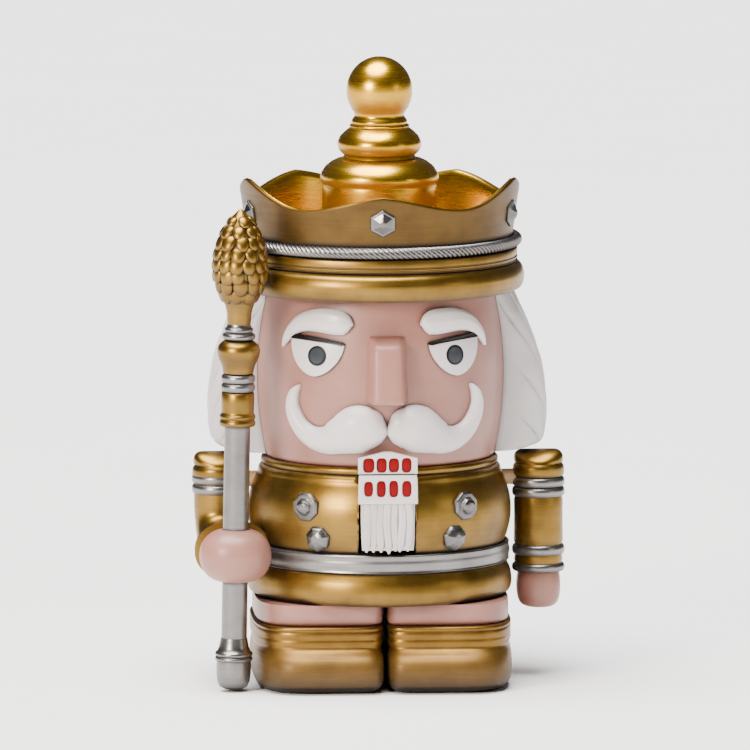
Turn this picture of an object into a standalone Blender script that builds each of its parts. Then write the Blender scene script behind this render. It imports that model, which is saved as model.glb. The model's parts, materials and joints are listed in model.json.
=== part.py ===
"""A nutcracker king with a working jaw, built as an assembly for Blender 4.5.

The figure stands on +Z, faces -Y and has its upright axis at the origin, on the floor. "Right" and
"left" are the figure's own, so its right hand, with the staff, is at -X. Sizes are in millimetres and
are turned into Blender's metres where a mesh is made.
"""

import math

import bmesh
import bpy
from mathutils import Matrix, Vector

MM = 0.001  # metres in a millimetre
GAP = 0.3  # between pieces that touch
FINE = 36  # segments round a large turned piece
COARSE = 18  # segments round a small one

# Heights of the main joints between the pieces
BOOT_TOP = 16.6
TORSO_BOTTOM = 21.9
BELT_BOTTOM = 30.4
BELT_TOP = 34.9
TORSO_TOP = 55.0
HEAD_TOP = 98.0
ROLL_TOP = 105.3
HAT_TOP = 109.0

# Radii round the figure's axis
TORSO_WAIST = 31.2
TORSO_CHEST = 32.8
TORSO_NECK = 30.4
HEAD_RADIUS = 31.0
ROLL_RADIUS = 36.2
CROWN_FOOT = 32.9
CROWN_MOUTH = 35.0
CROWN_WALL = 1.8
CROWN_DIP = 121.0
CROWN_TIPS = (124.8, 127.2, 125.0, 125.0, 127.2)  # from the front point, towards +X
CROWN_TURN = -2.0  # degrees

# The jaw lever and the slot that it works in
JAW_WIDTH = 13.4
SLOT_WIDTH = 14.2
PIN_HEIGHT = 37.0
PIN_RADIUS = 1.25
TEETH_WIDTH = 14.7

# The arms hang from pegs beside the torso
ARM_X = 40.15
ARM_Y = 4.0
ARM_RADIUS = 6.1
BAND_RADIUS = 6.75
SHOULDER_HEIGHT = 50.0
SHOULDER_TOP = 57.0
PEG_RADIUS = 2.0
FIST_HEIGHT = 34.2

# The staff stands in the right fist and leans a little towards the hat
STAFF_GRIP = (-37.3, -23.0, FIST_HEIGHT)
STAFF_LEAN = (0.0155, -0.021, 1.0)
STAFF_RADIUS = 3.2
STAFF_FOOT = 0.7

GOLD = ("gold_lacquer", (0.62, 0.41, 0.13), 0.30, 0.9)
SILVER = ("silver_lacquer", (0.66, 0.66, 0.68), 0.32, 0.9)
SKIN = ("skin_paint", (0.76, 0.52, 0.46), 0.45, 0.0)
WHITE = ("white_paint", (0.86, 0.85, 0.85), 0.40, 0.0)
STEEL = ("steel", (0.55, 0.56, 0.58), 0.30, 1.0)
BEECH = ("beech", (0.73, 0.55, 0.36), 0.60, 0.0)


def new_collection(name):
    """A new collection in the scene."""
    made = bpy.data.collections.new(name)
    bpy.context.scene.collection.children.link(made)
    return made


def finish(kind):
    """The Principled material of a finish, made once."""
    name, colour, roughness, metallic = kind
    material = bpy.data.materials.get(name)
    if material is None:
        material = bpy.data.materials.new(name)
        material.use_nodes = True
        shader = material.node_tree.nodes["Principled BSDF"]
        shader.inputs["Base Color"].default_value = (*colour, 1.0)
        shader.inputs["Roughness"].default_value = roughness
        shader.inputs["Metallic"].default_value = metallic
    return material


class Bench:
    """The two collections, and the ways of adding a piece or a cutter to them."""

    def __init__(self):
        for old in list(bpy.data.objects):
            bpy.data.objects.remove(old)
        self.parts = new_collection("nutcracker")
        self.cutters = new_collection("cutters")

    def add(self, name, bm, kind):
        """Puts a bmesh in millimetres into the scene as a named part, or as a cutter if kind is None."""
        mesh = bpy.data.meshes.new(name)
        bm.transform(Matrix.Scale(MM, 4))
        bmesh.ops.recalc_face_normals(bm, faces=bm.faces)
        bm.to_mesh(mesh)
        bm.free()
        obj = bpy.data.objects.new(name, mesh)
        if kind is None:
            self.cutters.objects.link(obj)
            obj.hide_render = True
            obj.display_type = "WIRE"
        else:
            self.parts.objects.link(obj)
            mesh.materials.append(finish(kind))
            mesh.shade_smooth()
            mesh.set_sharp_from_angle(angle=math.radians(35))
        return obj

    def cut(self, obj, *cutters):
        """Takes each cutter out of a part."""
        for cutter in cutters:
            self.boolean(obj, cutter, "DIFFERENCE")

    def join(self, obj, *others):
        """Makes others, which are cutters, one body with a part."""
        for other in others:
            self.boolean(obj, other, "UNION")

    def boolean(self, obj, other, operation):
        """One exact Boolean between a part and a cutter."""
        modifier = obj.modifiers.new(f"{operation}_{other.name}", "BOOLEAN")
        modifier.operation = operation
        modifier.object = other
        modifier.solver = "EXACT"


# ---- outlines and primitives, in millimetres ----


def bow(first, middle, last, steps=8):
    """Points of a gently bowed side through three (radius, height) points."""
    (r0, z0), (r1, z1), (r2, z2) = first, middle, last
    points = []
    for i in range(steps + 1):
        z = z0 + (z2 - z0) * i / steps
        a = (z - z1) * (z - z2) / ((z0 - z1) * (z0 - z2))
        b = (z - z0) * (z - z2) / ((z1 - z0) * (z1 - z2))
        c = (z - z0) * (z - z1) / ((z2 - z0) * (z2 - z1))
        points.append((a * r0 + b * r1 + c * r2, z))
    return points


def arc(r, z, across, up, start, end, steps=5):
    """Points of an ellipse's arc round (r, z), from start to end degrees, 0 pointing outwards and 90 up."""
    turn = [math.radians(start + (end - start) * i / steps) for i in range(steps + 1)]
    return [(r + across * math.cos(t), z + up * math.sin(t)) for t in turn]


def turned(profile, segments=FINE, centre=(0.0, 0.0)):
    """A bmesh of a profile turned round Z. A profile that meets the axis at both ends is a solid, and one
    that doesn't is closed into a ring."""
    bm = bmesh.new()
    ring = profile[0][0] > 0.0
    verts = [bm.verts.new((r, 0.0, z)) for r, z in profile]
    edges = [bm.edges.new(pair) for pair in zip(verts, verts[1:])]
    if ring:
        edges.append(bm.edges.new((verts[-1], verts[0])))
    bmesh.ops.spin(
        bm,
        geom=verts + edges,
        cent=(0, 0, 0),
        axis=(0, 0, 1),
        angle=math.tau,
        steps=segments,
        use_merge=True,
    )
    bmesh.ops.remove_doubles(bm, verts=bm.verts, dist=1e-4)
    bmesh.ops.translate(bm, verts=bm.verts, vec=(*centre, 0.0))
    return bm


def cylinder(radius, start, end, segments=COARSE, end_radius=None):
    """A bmesh of a cylinder, or a cone frustum, between two points."""
    bm = bmesh.new()
    a, b = Vector(start), Vector(end)
    bmesh.ops.create_cone(
        bm,
        cap_ends=True,
        segments=segments,
        radius1=radius,
        radius2=radius if end_radius is None else end_radius,
        depth=(b - a).length,
        matrix=Matrix.Translation((a + b) / 2)
        @ (b - a).to_track_quat("Z", "Y").to_matrix().to_4x4(),
    )
    return bm


def block(low, high):
    """A bmesh of a box between two corners."""
    bm = bmesh.new()
    low, high = Vector(low), Vector(high)
    bmesh.ops.create_cube(bm, size=1.0)
    bmesh.ops.scale(bm, verts=bm.verts, vec=high - low)
    bmesh.ops.translate(bm, verts=bm.verts, vec=(low + high) / 2)
    return bm


def ball(radii, centre, segments=COARSE):
    """A bmesh of an ellipsoid."""
    bm = bmesh.new()
    bmesh.ops.create_uvsphere(bm, u_segments=segments, v_segments=segments // 2, radius=1.0)
    bmesh.ops.scale(bm, verts=bm.verts, vec=radii)
    bmesh.ops.translate(bm, verts=bm.verts, vec=centre)
    return bm


def loft(sections, segments=COARSE):
    """A bmesh through cross-sections (centre, across, along, power): each is a superellipse spanned by two
    half-axis vectors, a plain ellipse at power 2 and squarer above it."""
    bm = bmesh.new()
    rings = []
    for centre, across, along, power in sections:
        ring = []
        for i in range(segments):
            t = math.tau * i / segments
            c, s = math.cos(t), math.sin(t)
            u = math.copysign(abs(c) ** (2 / power), c)
            v = math.copysign(abs(s) ** (2 / power), s)
            ring.append(bm.verts.new(Vector(centre) + u * Vector(across) + v * Vector(along)))
        rings.append(ring)
    for low, high in zip(rings, rings[1:]):
        for i in range(segments):
            j = (i + 1) % segments
            bm.faces.new((low[i], low[j], high[j], high[i]))
    bm.faces.new(rings[0])
    bm.faces.new(rings[-1])
    return bm


def on_drum(radius, degrees, height):
    """A point on an upright drum round the figure's axis, degrees towards +X from the front."""
    t = math.radians(degrees)
    return Vector((radius * math.sin(t), -radius * math.cos(t), height))


def outward(degrees):
    """The level direction that points out of a drum there."""
    return on_drum(1.0, degrees, 0.0)


def head_side():
    """The head's outer side, top to bottom."""
    side = bow((28.7, HEAD_TOP), (HEAD_RADIUS, 76.0), (29.0, 58.5), 7)
    return side + arc(25.0, 58.5, 4.0, 58.5 - (TORSO_TOP + GAP), 0, -90, 3)[1:]


def torso_side():
    """The chest's outer side, top to bottom, as far as the waist step."""
    shoulder = arc(TORSO_NECK - 2.6, 52.6, 2.6, TORSO_TOP - 52.6, 90, 0, 3)
    chest = bow((TORSO_NECK, 52.6), (TORSO_CHEST, 45.0), (TORSO_WAIST, 35.0), 5)
    return shoulder + chest[1:] + [(TORSO_WAIST - 0.4, BELT_BOTTOM - GAP)]


def chest_radius(height):
    """The chest's radius at a height."""
    side = torso_side()
    for (r0, z0), (r1, z1) in zip(side, side[1:]):
        if z1 <= height <= z0 and z0 > z1:
            return r0 + (r1 - r0) * (z0 - height) / (z0 - z1)
    return TORSO_CHEST


# ---- legs, boots and torso ----


def build_legs(bench):
    """Two pink legs, each between a boot and the torso on one dowel."""
    for side, word in ((-1, "right"), (1, "left")):
        middle = side * 16.0
        leg = bench.add(
            f"{word}_leg",
            loft(
                [
                    ((middle, -2.0, BOOT_TOP + GAP), (15.7, 0, 0), (0, 25.0, 0), 3.6),
                    ((middle, -2.0, TORSO_BOTTOM - GAP), (15.7, 0, 0), (0, 25.4, 0), 3.6),
                ],
                32,
            ),
            SKIN,
        )
        foot = [
            (0.0, 13.6, 24.6, -2.6),
            (0.9, 15.0, 27.0, -3.2),
            (2.6, 15.8, 28.8, -3.6),
            (5.6, 16.1, 29.6, -3.8),
            (9.0, 16.0, 28.9, -3.6),
            (11.2, 15.6, 27.0, -2.8),
            (12.2, 15.7, 26.6, -2.4),
            (BOOT_TOP, 15.8, 26.6, -2.2),
        ]
        boot = bench.add(
            f"{word}_boot",
            loft([((side * 16.3, y, z), (x, 0, 0), (0, d, 0), 3.4) for z, x, d, y in foot], 32),
            GOLD,
        )
        dowel = bench.add(
            f"{word}_leg_dowel", cylinder(2.5, (middle, 0, 8.3), (middle, 0, 27.7)), BEECH
        )
        hole = bench.add(
            f"{dowel.name}_hole", cylinder(2.5 + GAP, (middle, 0, 8.0), (middle, 0, 28.0)), None
        )
        bench.cut(leg, hole)
        bench.cut(boot, hole)


def build_torso(bench):
    """The jacket's block, with the jaw slot through it, the bores for the pegs and dowels, and its pin."""
    profile = [(0.0, TORSO_TOP)] + torso_side()
    profile += [(29.5, BELT_BOTTOM - GAP), (29.5, TORSO_BOTTOM), (0.0, TORSO_BOTTOM)]
    torso = bench.add("torso", turned(profile), GOLD)
    half = SLOT_WIDTH / 2
    slot = bench.add("jaw_slot", block((-half, -45, 35.2), (half, 45, 60)), None)
    pocket = bench.add(
        "pin_pocket",
        cylinder(5.8, (-half, 0, PIN_HEIGHT), (half, 0, PIN_HEIGHT), 32),
        None,
    )
    pin_hole = bench.add(
        "pin_hole",
        cylinder(PIN_RADIUS + GAP, (-22.3, 0, PIN_HEIGHT), (40, 0, PIN_HEIGHT)),
        None,
    )
    bench.cut(torso, slot, pocket, pin_hole)
    for side, word in ((-1, "right"), (1, "left")):
        peg_hole = bench.add(
            f"{word}_peg_bore",
            cylinder(
                PEG_RADIUS + GAP,
                (side * 23.7, ARM_Y, SHOULDER_HEIGHT),
                (side * 38.9, ARM_Y, SHOULDER_HEIGHT),
            ),
            None,
        )
        leg_hole = bpy.data.objects[f"{word}_leg_dowel_hole"]
        neck_hole = bench.add(
            f"{word}_neck_bore", cylinder(2.5 + GAP, (side * 15, 0, 44), (side * 15, 0, 64)), None
        )
        bench.cut(torso, peg_hole, leg_hole, neck_hole)
        bench.add(
            f"{word}_neck_dowel", cylinder(2.5, (side * 15, 0, 44.3), (side * 15, 0, 63.7)), BEECH
        )
    bench.add(
        "jaw_pin",
        cylinder(PIN_RADIUS, (-22, 0, PIN_HEIGHT), (31.0, 0, PIN_HEIGHT)),
        STEEL,
    )


def build_jacket_trim(bench):
    """The silver belt and the jacket's skirt, both rings round the torso."""
    belt = [(32.4, BELT_TOP - 0.6), (32.6, 32.6), (32.4, BELT_BOTTOM + 0.6), (32.0, BELT_BOTTOM)]
    bore = TORSO_WAIST + GAP
    bench.add("belt", turned([(32.0, BELT_TOP)] + belt + [(bore, BELT_BOTTOM), (bore, BELT_TOP)]), SILVER)
    outer = bow((31.6, BELT_BOTTOM - GAP), (33.0, 25.6), (33.0, 23.4), 4)
    outer += arc(32.0, 22.9, 1.0, 1.0, 0, -90, 3)
    bench.add(
        "jacket_skirt",
        turned(outer + [(29.5 + GAP, TORSO_BOTTOM), (29.5 + GAP, BELT_BOTTOM - GAP)]),
        GOLD,
    )


def build_buttons(bench):
    """Four faceted studs in two rows down the chest."""
    spots = {"upper": (37.4, 46.6, 3.7), "lower": (31.4, 38.9, 3.4)}
    for row, (degrees, height, radius) in spots.items():
        for side, word in ((-1, "right"), (1, "left")):
            way = outward(side * degrees)
            seat = on_drum(chest_radius(height) + 0.55, side * degrees, height)
            bench.add(
                f"{word}_{row}_button",
                cylinder(radius, seat, seat + 2.2 * way, 8, radius * 0.45),
                SILVER,
            )


# ---- the jaw ----


def build_jaw(bench):
    """The lever through the torso, with the lower teeth and the beard in front and the tail behind."""
    nose = 33.2
    tail_back = -38.5
    tail_front = -34.3
    outline = [(nose, 43.0), (nose, 51.0), (28.0, 51.0), (0.0, 46.0), (-26.0, 48.0), (-35.5, 48.0)]
    outline += [(tail_back, 45.0), (tail_back + 0.9, 17.2), (-36.4, 16.0), (tail_front - 1.0, 17.0)]
    outline += [(tail_front, 36.5), (-28.0, 36.5)]
    outline += arc(0.0, PIN_HEIGHT, 5.0, 5.0, -174, -6, 7)
    bm = bmesh.new()
    face = bm.faces.new([bm.verts.new((-JAW_WIDTH / 2, -forward, z)) for forward, z in outline])
    swept = bmesh.ops.extrude_face_region(bm, geom=[face])["geom"]
    verts = [v for v in swept if isinstance(v, bmesh.types.BMVert)]
    bmesh.ops.translate(bm, verts=verts, vec=(JAW_WIDTH, 0, 0))
    lever = bench.add("jaw_lever", bm, GOLD)
    hole = bench.add(
        "lever_hole",
        cylinder(PIN_RADIUS + GAP, (-20, 0, PIN_HEIGHT), (20, 0, PIN_HEIGHT)),
        None,
    )
    bench.cut(lever, hole)
    half = TEETH_WIDTH / 2
    teeth = bench.add("lower_teeth", block((-half, -35.9, 48.4), (half, -nose - GAP, 55.5)), WHITE)
    soften(teeth, 0.4)
    locks = [(36.2, 6.6, -34.7, 0.9), (38.0, 7.1, -34.7, 1.1), (44.0, 6.8, -34.7, 1.2), (48.1, 6.6, -34.7, 1.1)]
    bench.add(
        "beard",
        loft([((0, y, z), (x, 0, 0), (0, d, 0), 4.0) for z, x, y, d in locks]),
        WHITE,
    )


def soften(obj, width):
    """Rounds an object's edges."""
    bevel = obj.modifiers.new("Bevel", "BEVEL")
    bevel.width = width * MM
    bevel.segments = 2
    bevel.limit_method = "ANGLE"


# ---- the head ----


def build_head(bench):
    """The turned head, and the shape that fits what is glued on it."""
    top = [(0.0, HEAD_TOP)]
    head = bench.add("head", turned(top + head_side() + [(0.0, TORSO_TOP + GAP)]), SKIN)
    bench.cut(head, bpy.data.objects["right_neck_bore"], bpy.data.objects["left_neck_bore"])
    grown = [(r + GAP, z) for r, z in head_side()]
    fit = [(0.0, HEAD_TOP + 6), (grown[0][0], HEAD_TOP + 6)] + grown + [(0.0, TORSO_TOP)]
    return bench.add("head_fit", turned(fit), None)


def build_face(bench, fit):
    """Nose, eyes, brows, moustache and upper teeth, each fitted to the head's curve."""
    nose = bench.add("nose", nose_wedge(), SKIN)
    soften(nose, 0.8)
    half = TEETH_WIDTH / 2
    teeth = bench.add("upper_teeth", block((-half, -34.9, 55.8), (half, -24.0, 60.0)), WHITE)
    bench.cut(nose, fit)
    bench.cut(teeth, fit)
    brow = [
        (17.2, 92.7, 1.0),
        (19.5, 92.8, 2.8),
        (25.0, 93.3, 3.1),
        (31.0, 93.3, 3.0),
        (42.0, 92.3, 2.3),
        (49.0, 90.2, 1.7),
        (53.5, 86.3, 0.5),
    ]
    lip = [
        (0.9, 66.0, 2.2),
        (2.3, 66.1, 4.2),
        (5.5, 66.4, 5.6),
        (10.0, 66.6, 6.1),
        (15.5, 66.0, 6.0),
        (22.5, 64.4, 4.6),
        (30.5, 63.4, 3.2),
        (40.5, 65.3, 2.7),
        (46.3, 69.8, 2.2),
        (46.6, 73.6, 1.6),
        (42.5, 76.6, 0.5),
    ]
    for side, word in ((-1, "right"), (1, "left")):
        eye = bench.add(f"{word}_eye", eye_lens(side), WHITE)
        tuft = bench.add(f"{word}_eyebrow", relief(brow, side, 1.9), WHITE)
        whisker = bench.add(f"{word}_moustache", relief(lip, side, 3.6), WHITE)
        for piece in (eye, tuft, whisker):
            bench.cut(piece, fit)
        bench.cut(eye, bench.add(f"{word}_lid_line", lid_line(side), None))


def nose_wedge():
    """A wedge that widens towards the mouth and towards the head."""
    bm = bmesh.new()
    low = [(-6.4, -28.5), (-4.5, -38.5), (4.5, -38.5), (6.4, -28.5)]
    high = [(-5.2, -28.5), (-3.5, -35.4), (3.5, -35.4), (5.2, -28.5)]
    below = [bm.verts.new((x, y, 73.3)) for x, y in low]
    above = [bm.verts.new((x, y, 89.0)) for x, y in high]
    bm.faces.new(below)
    bm.faces.new(above)
    for i in range(4):
        j = (i + 1) % 4
        bm.faces.new((below[i], below[j], above[j], above[i]))
    return bm


def eye_place(side):
    """The matrix that lays an eye on the head: its X runs to the figure's right, and its Y outwards."""
    way = outward(side * 34.3)
    across = way.cross(Vector((0, 0, 1)))
    turn = Matrix((across, way, Vector((0, 0, 1)))).transposed().to_4x4()
    return Matrix.Translation(on_drum(29.9, side * 34.3, 85.6)) @ turn


def eye_lens(side):
    """A shallow lens that lies on the head."""
    lens = ball((8.0, 2.2, 7.5), (0, 0, 0), 20)
    lens.transform(eye_place(side))
    return lens


def lid_line(side):
    """The block that trims an eye's top, lower towards the nose."""
    lid = block((-14, -6, 0), (14, 6, 12))
    lid.transform(Matrix.Translation((0, 0, 2.8)) @ Matrix.Rotation(math.radians(6 * side), 4, "Y"))
    lid.transform(eye_place(side))
    return lid


def relief(line, side, proud):
    """A tapered roll along (degrees, height, half width) points on the head, proud of it at its widest."""
    centres = [on_drum(HEAD_RADIUS + 0.9, side * d, z) for d, z, _ in line]
    widest = max(w for _, _, w in line)
    sections = []
    for i, (degrees, _, width) in enumerate(line):
        along = (centres[min(i + 1, len(line) - 1)] - centres[max(i - 1, 0)]).normalized()
        way = outward(side * degrees)
        across = along.cross(way).normalized()
        depth = proud * (0.35 + 0.65 * width / widest)
        sections.append((centres[i], across * width, across.cross(along).normalized() * depth, 2.0))
    return loft(sections, 16)


def build_hair(bench, fit):
    """One bell of hair round the back of the head, from temple to temple."""
    locks = [
        (57.6, 39.6, 25.6),
        (59.2, 41.6, 27.2),
        (64.0, 42.6, 28.2),
        (71.0, 42.6, 28.2),
        (80.0, 41.2, 27.4),
        (89.5, 37.8, 25.6),
        (97.7, 34.0, 24.0),
    ]
    hair = bench.add("hair", loft([((0, 10, z), (x, 0, 0), (0, d, 0), 2.6) for z, x, d in locks], 40), WHITE)
    front = bench.add("hair_front", block((-60, -60, 50), (60, -5, 110)), None)
    bench.cut(hair, front, fit)


# ---- the hat ----


def build_hat(bench):
    """The rolled band, the pointed crown with its cord and gems, and the turned finial."""
    roll = arc(ROLL_RADIUS - 3.6, 101.8, 3.6, ROLL_TOP - 101.8, 90, -90, 6)
    step = [(0.0, HAT_TOP), (34.2, HAT_TOP), (34.5, HAT_TOP - 0.4), (34.5, 106.6), (33.8, 105.6)]
    bench.add("hat_band", turned(step + roll + [(0.0, HEAD_TOP + GAP)]), GOLD)
    build_crown(bench)
    cord = arc(34.9, 110.75, 1.45, 1.45, 90, -225, 7)
    bench.add("crown_cord", turned(cord), SILVER)
    bench.add(
        "hat_top",
        turned([(0.0, 116.6), (14.5, 116.4), (30.6, 112.5), (30.6, HAT_TOP + GAP), (0.0, HAT_TOP + GAP)]),
        GOLD,
    )
    drum = [(0.0, 130.6), (10.6, 130.6)] + arc(10.6, 126.9, 4.3, 2.8, 80, 0, 4)
    bench.add("finial_base", turned(drum + [(14.2, 125.6), (14.2, 116.9), (0.0, 116.9)], 24), GOLD)
    waist = [(0.0, 139.2), (7.4, 139.2)] + arc(7.4, 134.7, 3.1, 3.6, 75, -75, 6)
    bench.add("finial_bead", turned(waist + [(7.6, 130.9), (0.0, 130.9)], 24), GOLD)
    knob = [(0.0, 156.4)] + arc(0.0, 147.8, 8.2, 8.6, 80, -50, 7)
    bench.add("finial_ball", turned(knob + [(6.6, 139.5), (0.0, 139.5)], 24), GOLD)
    tilt = math.atan((CROWN_MOUTH - CROWN_FOOT) / (125.0 - HAT_TOP))
    for i in range(len(CROWN_TIPS)):
        degrees = CROWN_TURN + 360.0 * i / len(CROWN_TIPS)
        way = outward(degrees) * math.cos(tilt) - Vector((0, 0, math.sin(tilt)))
        seat = on_drum(crown_radius(118.2), degrees, 118.2) + 0.5 * way
        bench.add(f"crown_gem_{i + 1}", cylinder(3.4, seat, seat + 1.5 * way, 6, 1.6), SILVER)


def crown_radius(height):
    """The crown wall's outer radius at a height."""
    return CROWN_FOOT + (CROWN_MOUTH - CROWN_FOOT) * (height - HAT_TOP) / (125.0 - HAT_TOP)


def build_crown(bench):
    """A flared wall with five points: an open cone whose rim is raised and lowered, then thickened."""
    bm = bmesh.new()
    foot = HAT_TOP + GAP
    segments = 10 * len(CROWN_TIPS)
    bmesh.ops.create_cone(
        bm, cap_ends=False, segments=segments, radius1=CROWN_FOOT, radius2=CROWN_MOUTH, depth=1.0
    )
    for vert in bm.verts:
        turn = (math.degrees(math.atan2(vert.co.x, -vert.co.y)) - CROWN_TURN) / 360.0 * len(CROWN_TIPS)
        wave = 0.5 + 0.5 * math.cos(turn * math.tau)
        tip = CROWN_TIPS[round(turn) % len(CROWN_TIPS)]
        height = foot if vert.co.z < 0 else CROWN_DIP + (tip - CROWN_DIP) * wave
        level = vert.co.to_2d().normalized() * crown_radius(height)
        vert.co = (level.x, level.y, height)
    wall = bench.add("crown_wall", bm, GOLD)
    thick = wall.modifiers.new("Solidify", "SOLIDIFY")
    thick.thickness = CROWN_WALL * MM
    thick.offset = -1.0


# ---- the arms ----


def sleeve_top(x, bottom):
    """Sections of an upright sleeve down to a height, from a shoulder that is round about its peg."""
    shoulder = [(57.0, 4.4, 0.9, 3.0), (56.6, 5.3, 2.3, 3.0), (55.4, 6.0, 4.4, 2.6), (53.4, 6.1, 6.1, 2.0)]
    return [((x, ARM_Y, z), (r, 0, 0), (0, d, 0), p) for z, r, d, p in shoulder] + [
        ((x, ARM_Y, bottom), (ARM_RADIUS, 0, 0), (0, ARM_RADIUS, 0), 2.0)
    ]


def band(bench, name, x, bottom, top):
    """A silver ring round an upright sleeve."""
    bore, edge = ARM_RADIUS + 0.25, BAND_RADIUS - 0.15
    middle = (bottom + top) / 2
    outline = [(edge, top), (BAND_RADIUS, middle), (edge, bottom), (bore, bottom), (bore, top)]
    return bench.add(name, turned(outline, COARSE, (x, ARM_Y)), SILVER)


def build_left_arm(bench):
    """The free arm: it swings on its peg beside the torso."""
    sleeve = bench.add("left_sleeve", loft(sleeve_top(ARM_X, 26.2)), GOLD)
    bench.cut(sleeve, bpy.data.objects["left_peg_bore"])
    upper = band(bench, "left_upper_band", ARM_X, 45.1, 50.1)
    bench.cut(upper, bpy.data.objects["left_peg_bore"])
    band(bench, "left_lower_band", ARM_X, 30.4, 33.1)
    band(bench, "left_cuff", ARM_X, 26.2, 28.4)
    hand = [(17.2, 2.6), (18.2, 4.4), (20.4, 5.4), (23.0, 5.6), (25.9, 5.3)]
    bench.add(
        "left_hand",
        loft([((ARM_X, ARM_Y, z), (r, 0, 0), (0, r * 1.12, 0), 2.3) for z, r in hand]),
        SKIN,
    )
    end = (38.6, ARM_Y, SHOULDER_HEIGHT)
    bench.add("left_shoulder_peg", cylinder(PEG_RADIUS, (24.0, ARM_Y, SHOULDER_HEIGHT), end), BEECH)


def build_right_arm(bench):
    """The fixed arm: bent at the elbow, with the fist round the staff."""
    bend, steps = 8.5, 5
    wrist = Vector((STAFF_GRIP[0] - 0.4, -13.7, FIST_HEIGHT))
    sections = sleeve_top(-ARM_X, FIST_HEIGHT + bend)
    for step in range(1, steps + 1):
        t = math.radians(90 * step / steps)
        x = -ARM_X + 0.9 * step / steps
        y = ARM_Y - bend * (1 - math.cos(t))
        z = FIST_HEIGHT + bend * (1 - math.sin(t))
        across = Vector((0, math.cos(t), -math.sin(t))) * ARM_RADIUS
        sections.append(((x, y, z), (ARM_RADIUS, 0, 0), across, 2.0))
    sections.append((wrist, (ARM_RADIUS - 0.2, 0, 0), (0, 0, 0.2 - ARM_RADIUS), 2.0))
    sleeve = bench.add("right_sleeve", loft(sections), GOLD)
    bench.cut(sleeve, bpy.data.objects["right_peg_bore"])
    upper = band(bench, "right_upper_band", -ARM_X, 46.4, 51.4)
    bench.cut(upper, bpy.data.objects["right_peg_bore"])
    bench.add(
        "right_shoulder_peg",
        cylinder(PEG_RADIUS, (-38.6, ARM_Y, SHOULDER_HEIGHT), (-24.0, ARM_Y, SHOULDER_HEIGHT)),
        BEECH,
    )
    cuff = bench.add(
        "right_cuff", cylinder(6.8, wrist + Vector((0, 1.6, 0)), wrist + Vector((0, -0.2, 0))), SILVER
    )
    inside = bench.add(
        "cuff_bore", cylinder(6.3, wrist + Vector((0, 9, 0)), wrist + Vector((0, -9, 0))), None
    )
    bench.cut(cuff, inside)
    fist = bench.add("right_fist", ball((9.3, 8.8, 7.0), STAFF_GRIP, 22), SKIN)
    back = bench.add("fist_back", block((-60, wrist.y - GAP, 20), (-10, 10, 50)), None)
    grip = bench.add("staff_bore", cylinder(STAFF_RADIUS + GAP, on_staff(0), on_staff(80)), None)
    bench.cut(fist, back, grip)


# ---- the staff ----


def on_staff(height):
    """The point of the staff's axis at a height."""
    grip, lean = Vector(STAFF_GRIP), Vector(STAFF_LEAN)
    return grip + lean * (height - FIST_HEIGHT)


def staff_turning(profile, segments=COARSE):
    """A profile turned round the staff's axis, with its heights along that axis."""
    bm = turned(profile, segments)
    lean = Vector(STAFF_LEAN).to_track_quat("Z", "Y").to_matrix().to_4x4()
    bm.transform(Matrix.Translation(on_staff(0)) @ lean)
    return bm


def build_staff(bench):
    """The staff: a rod with a foot below the fist and a turned, cone-shaped head above it."""
    rod = [(0.0, 66.5), (STAFF_RADIUS, 66.5), (STAFF_RADIUS, 13.6), (0.0, 13.6)]
    bench.add("staff_rod", staff_turning(rod), SILVER)
    foot = [(0.0, 13.3), (3.4, 13.3), (3.9, 11.2), (4.65, 9.8), (4.65, 8.6), (4.3, 8.0), (4.5, 7.2)]
    foot += arc(2.2, 3.8, 2.2, 3.8 - STAFF_FOOT, 0, -90, 4)
    bench.add("staff_foot", staff_turning(foot + [(0.0, STAFF_FOOT)]), SILVER)
    ferrule = [(0.0, 75.2), (4.1, 75.2), (4.1, 70.0), (4.4, 69.4), (4.4, 67.4), (3.9, 66.8), (0.0, 66.8)]
    bench.add("staff_ferrule", staff_turning(ferrule), GOLD)
    collar = [(0.0, 79.8), (3.9, 79.8), (4.2, 78.8), (3.9, 77.7), (4.2, 76.5), (3.9, 75.5), (0.0, 75.5)]
    bench.add("staff_collar", staff_turning(collar), SILVER)
    knob = [(0.0, 88.1), (3.6, 88.1)] + arc(0.0, 85.4, 5.3, 3.4, 50, 0, 4) + [(5.0, 83.4), (3.9, 80.1)]
    bench.add("staff_knob", staff_turning(knob + [(0.0, 80.1)]), GOLD)
    neck = [(0.0, 92.0), (2.9, 92.0), (3.3, 90.8), (4.1, 90.0), (4.1, 88.9), (3.8, 88.4), (0.0, 88.4)]
    bench.add("staff_neck", staff_turning(neck), SILVER)
    cone = arc(0.0, 105.0, 7.1, 16.4, 84, 0, 6) + arc(0.0, 105.0, 7.1, 13.3, 0, -62, 5)[1:]
    bench.add("staff_cone", staff_turning([(0.0, 121.4)] + cone + [(0.0, 92.3)], 24), GOLD)


def main():
    """Builds every piece at rest, with the jaw shut."""
    bench = Bench()
    build_legs(bench)
    build_torso(bench)
    build_jacket_trim(bench)
    build_buttons(bench)
    build_jaw(bench)
    fit = build_head(bench)
    build_face(bench, fit)
    build_hair(bench, fit)
    build_hat(bench)
    build_left_arm(bench)
    build_right_arm(bench)
    build_staff(bench)


main()
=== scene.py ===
"""The visible model of a squat nutcracker king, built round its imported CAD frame.

Every piece is shaped in millimetres in the frame's own axes (+Z up, -Y out of the face, +X towards the
figure's left arm) and becomes metres when its mesh is made. "Right" and "left" are the figure's own.
"""

from __future__ import annotations

import json
import logging
import math
import random
from dataclasses import dataclass
from enum import Enum
from typing import Callable, Sequence

import bmesh
import bpy
from mathutils import Matrix, Vector

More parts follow.
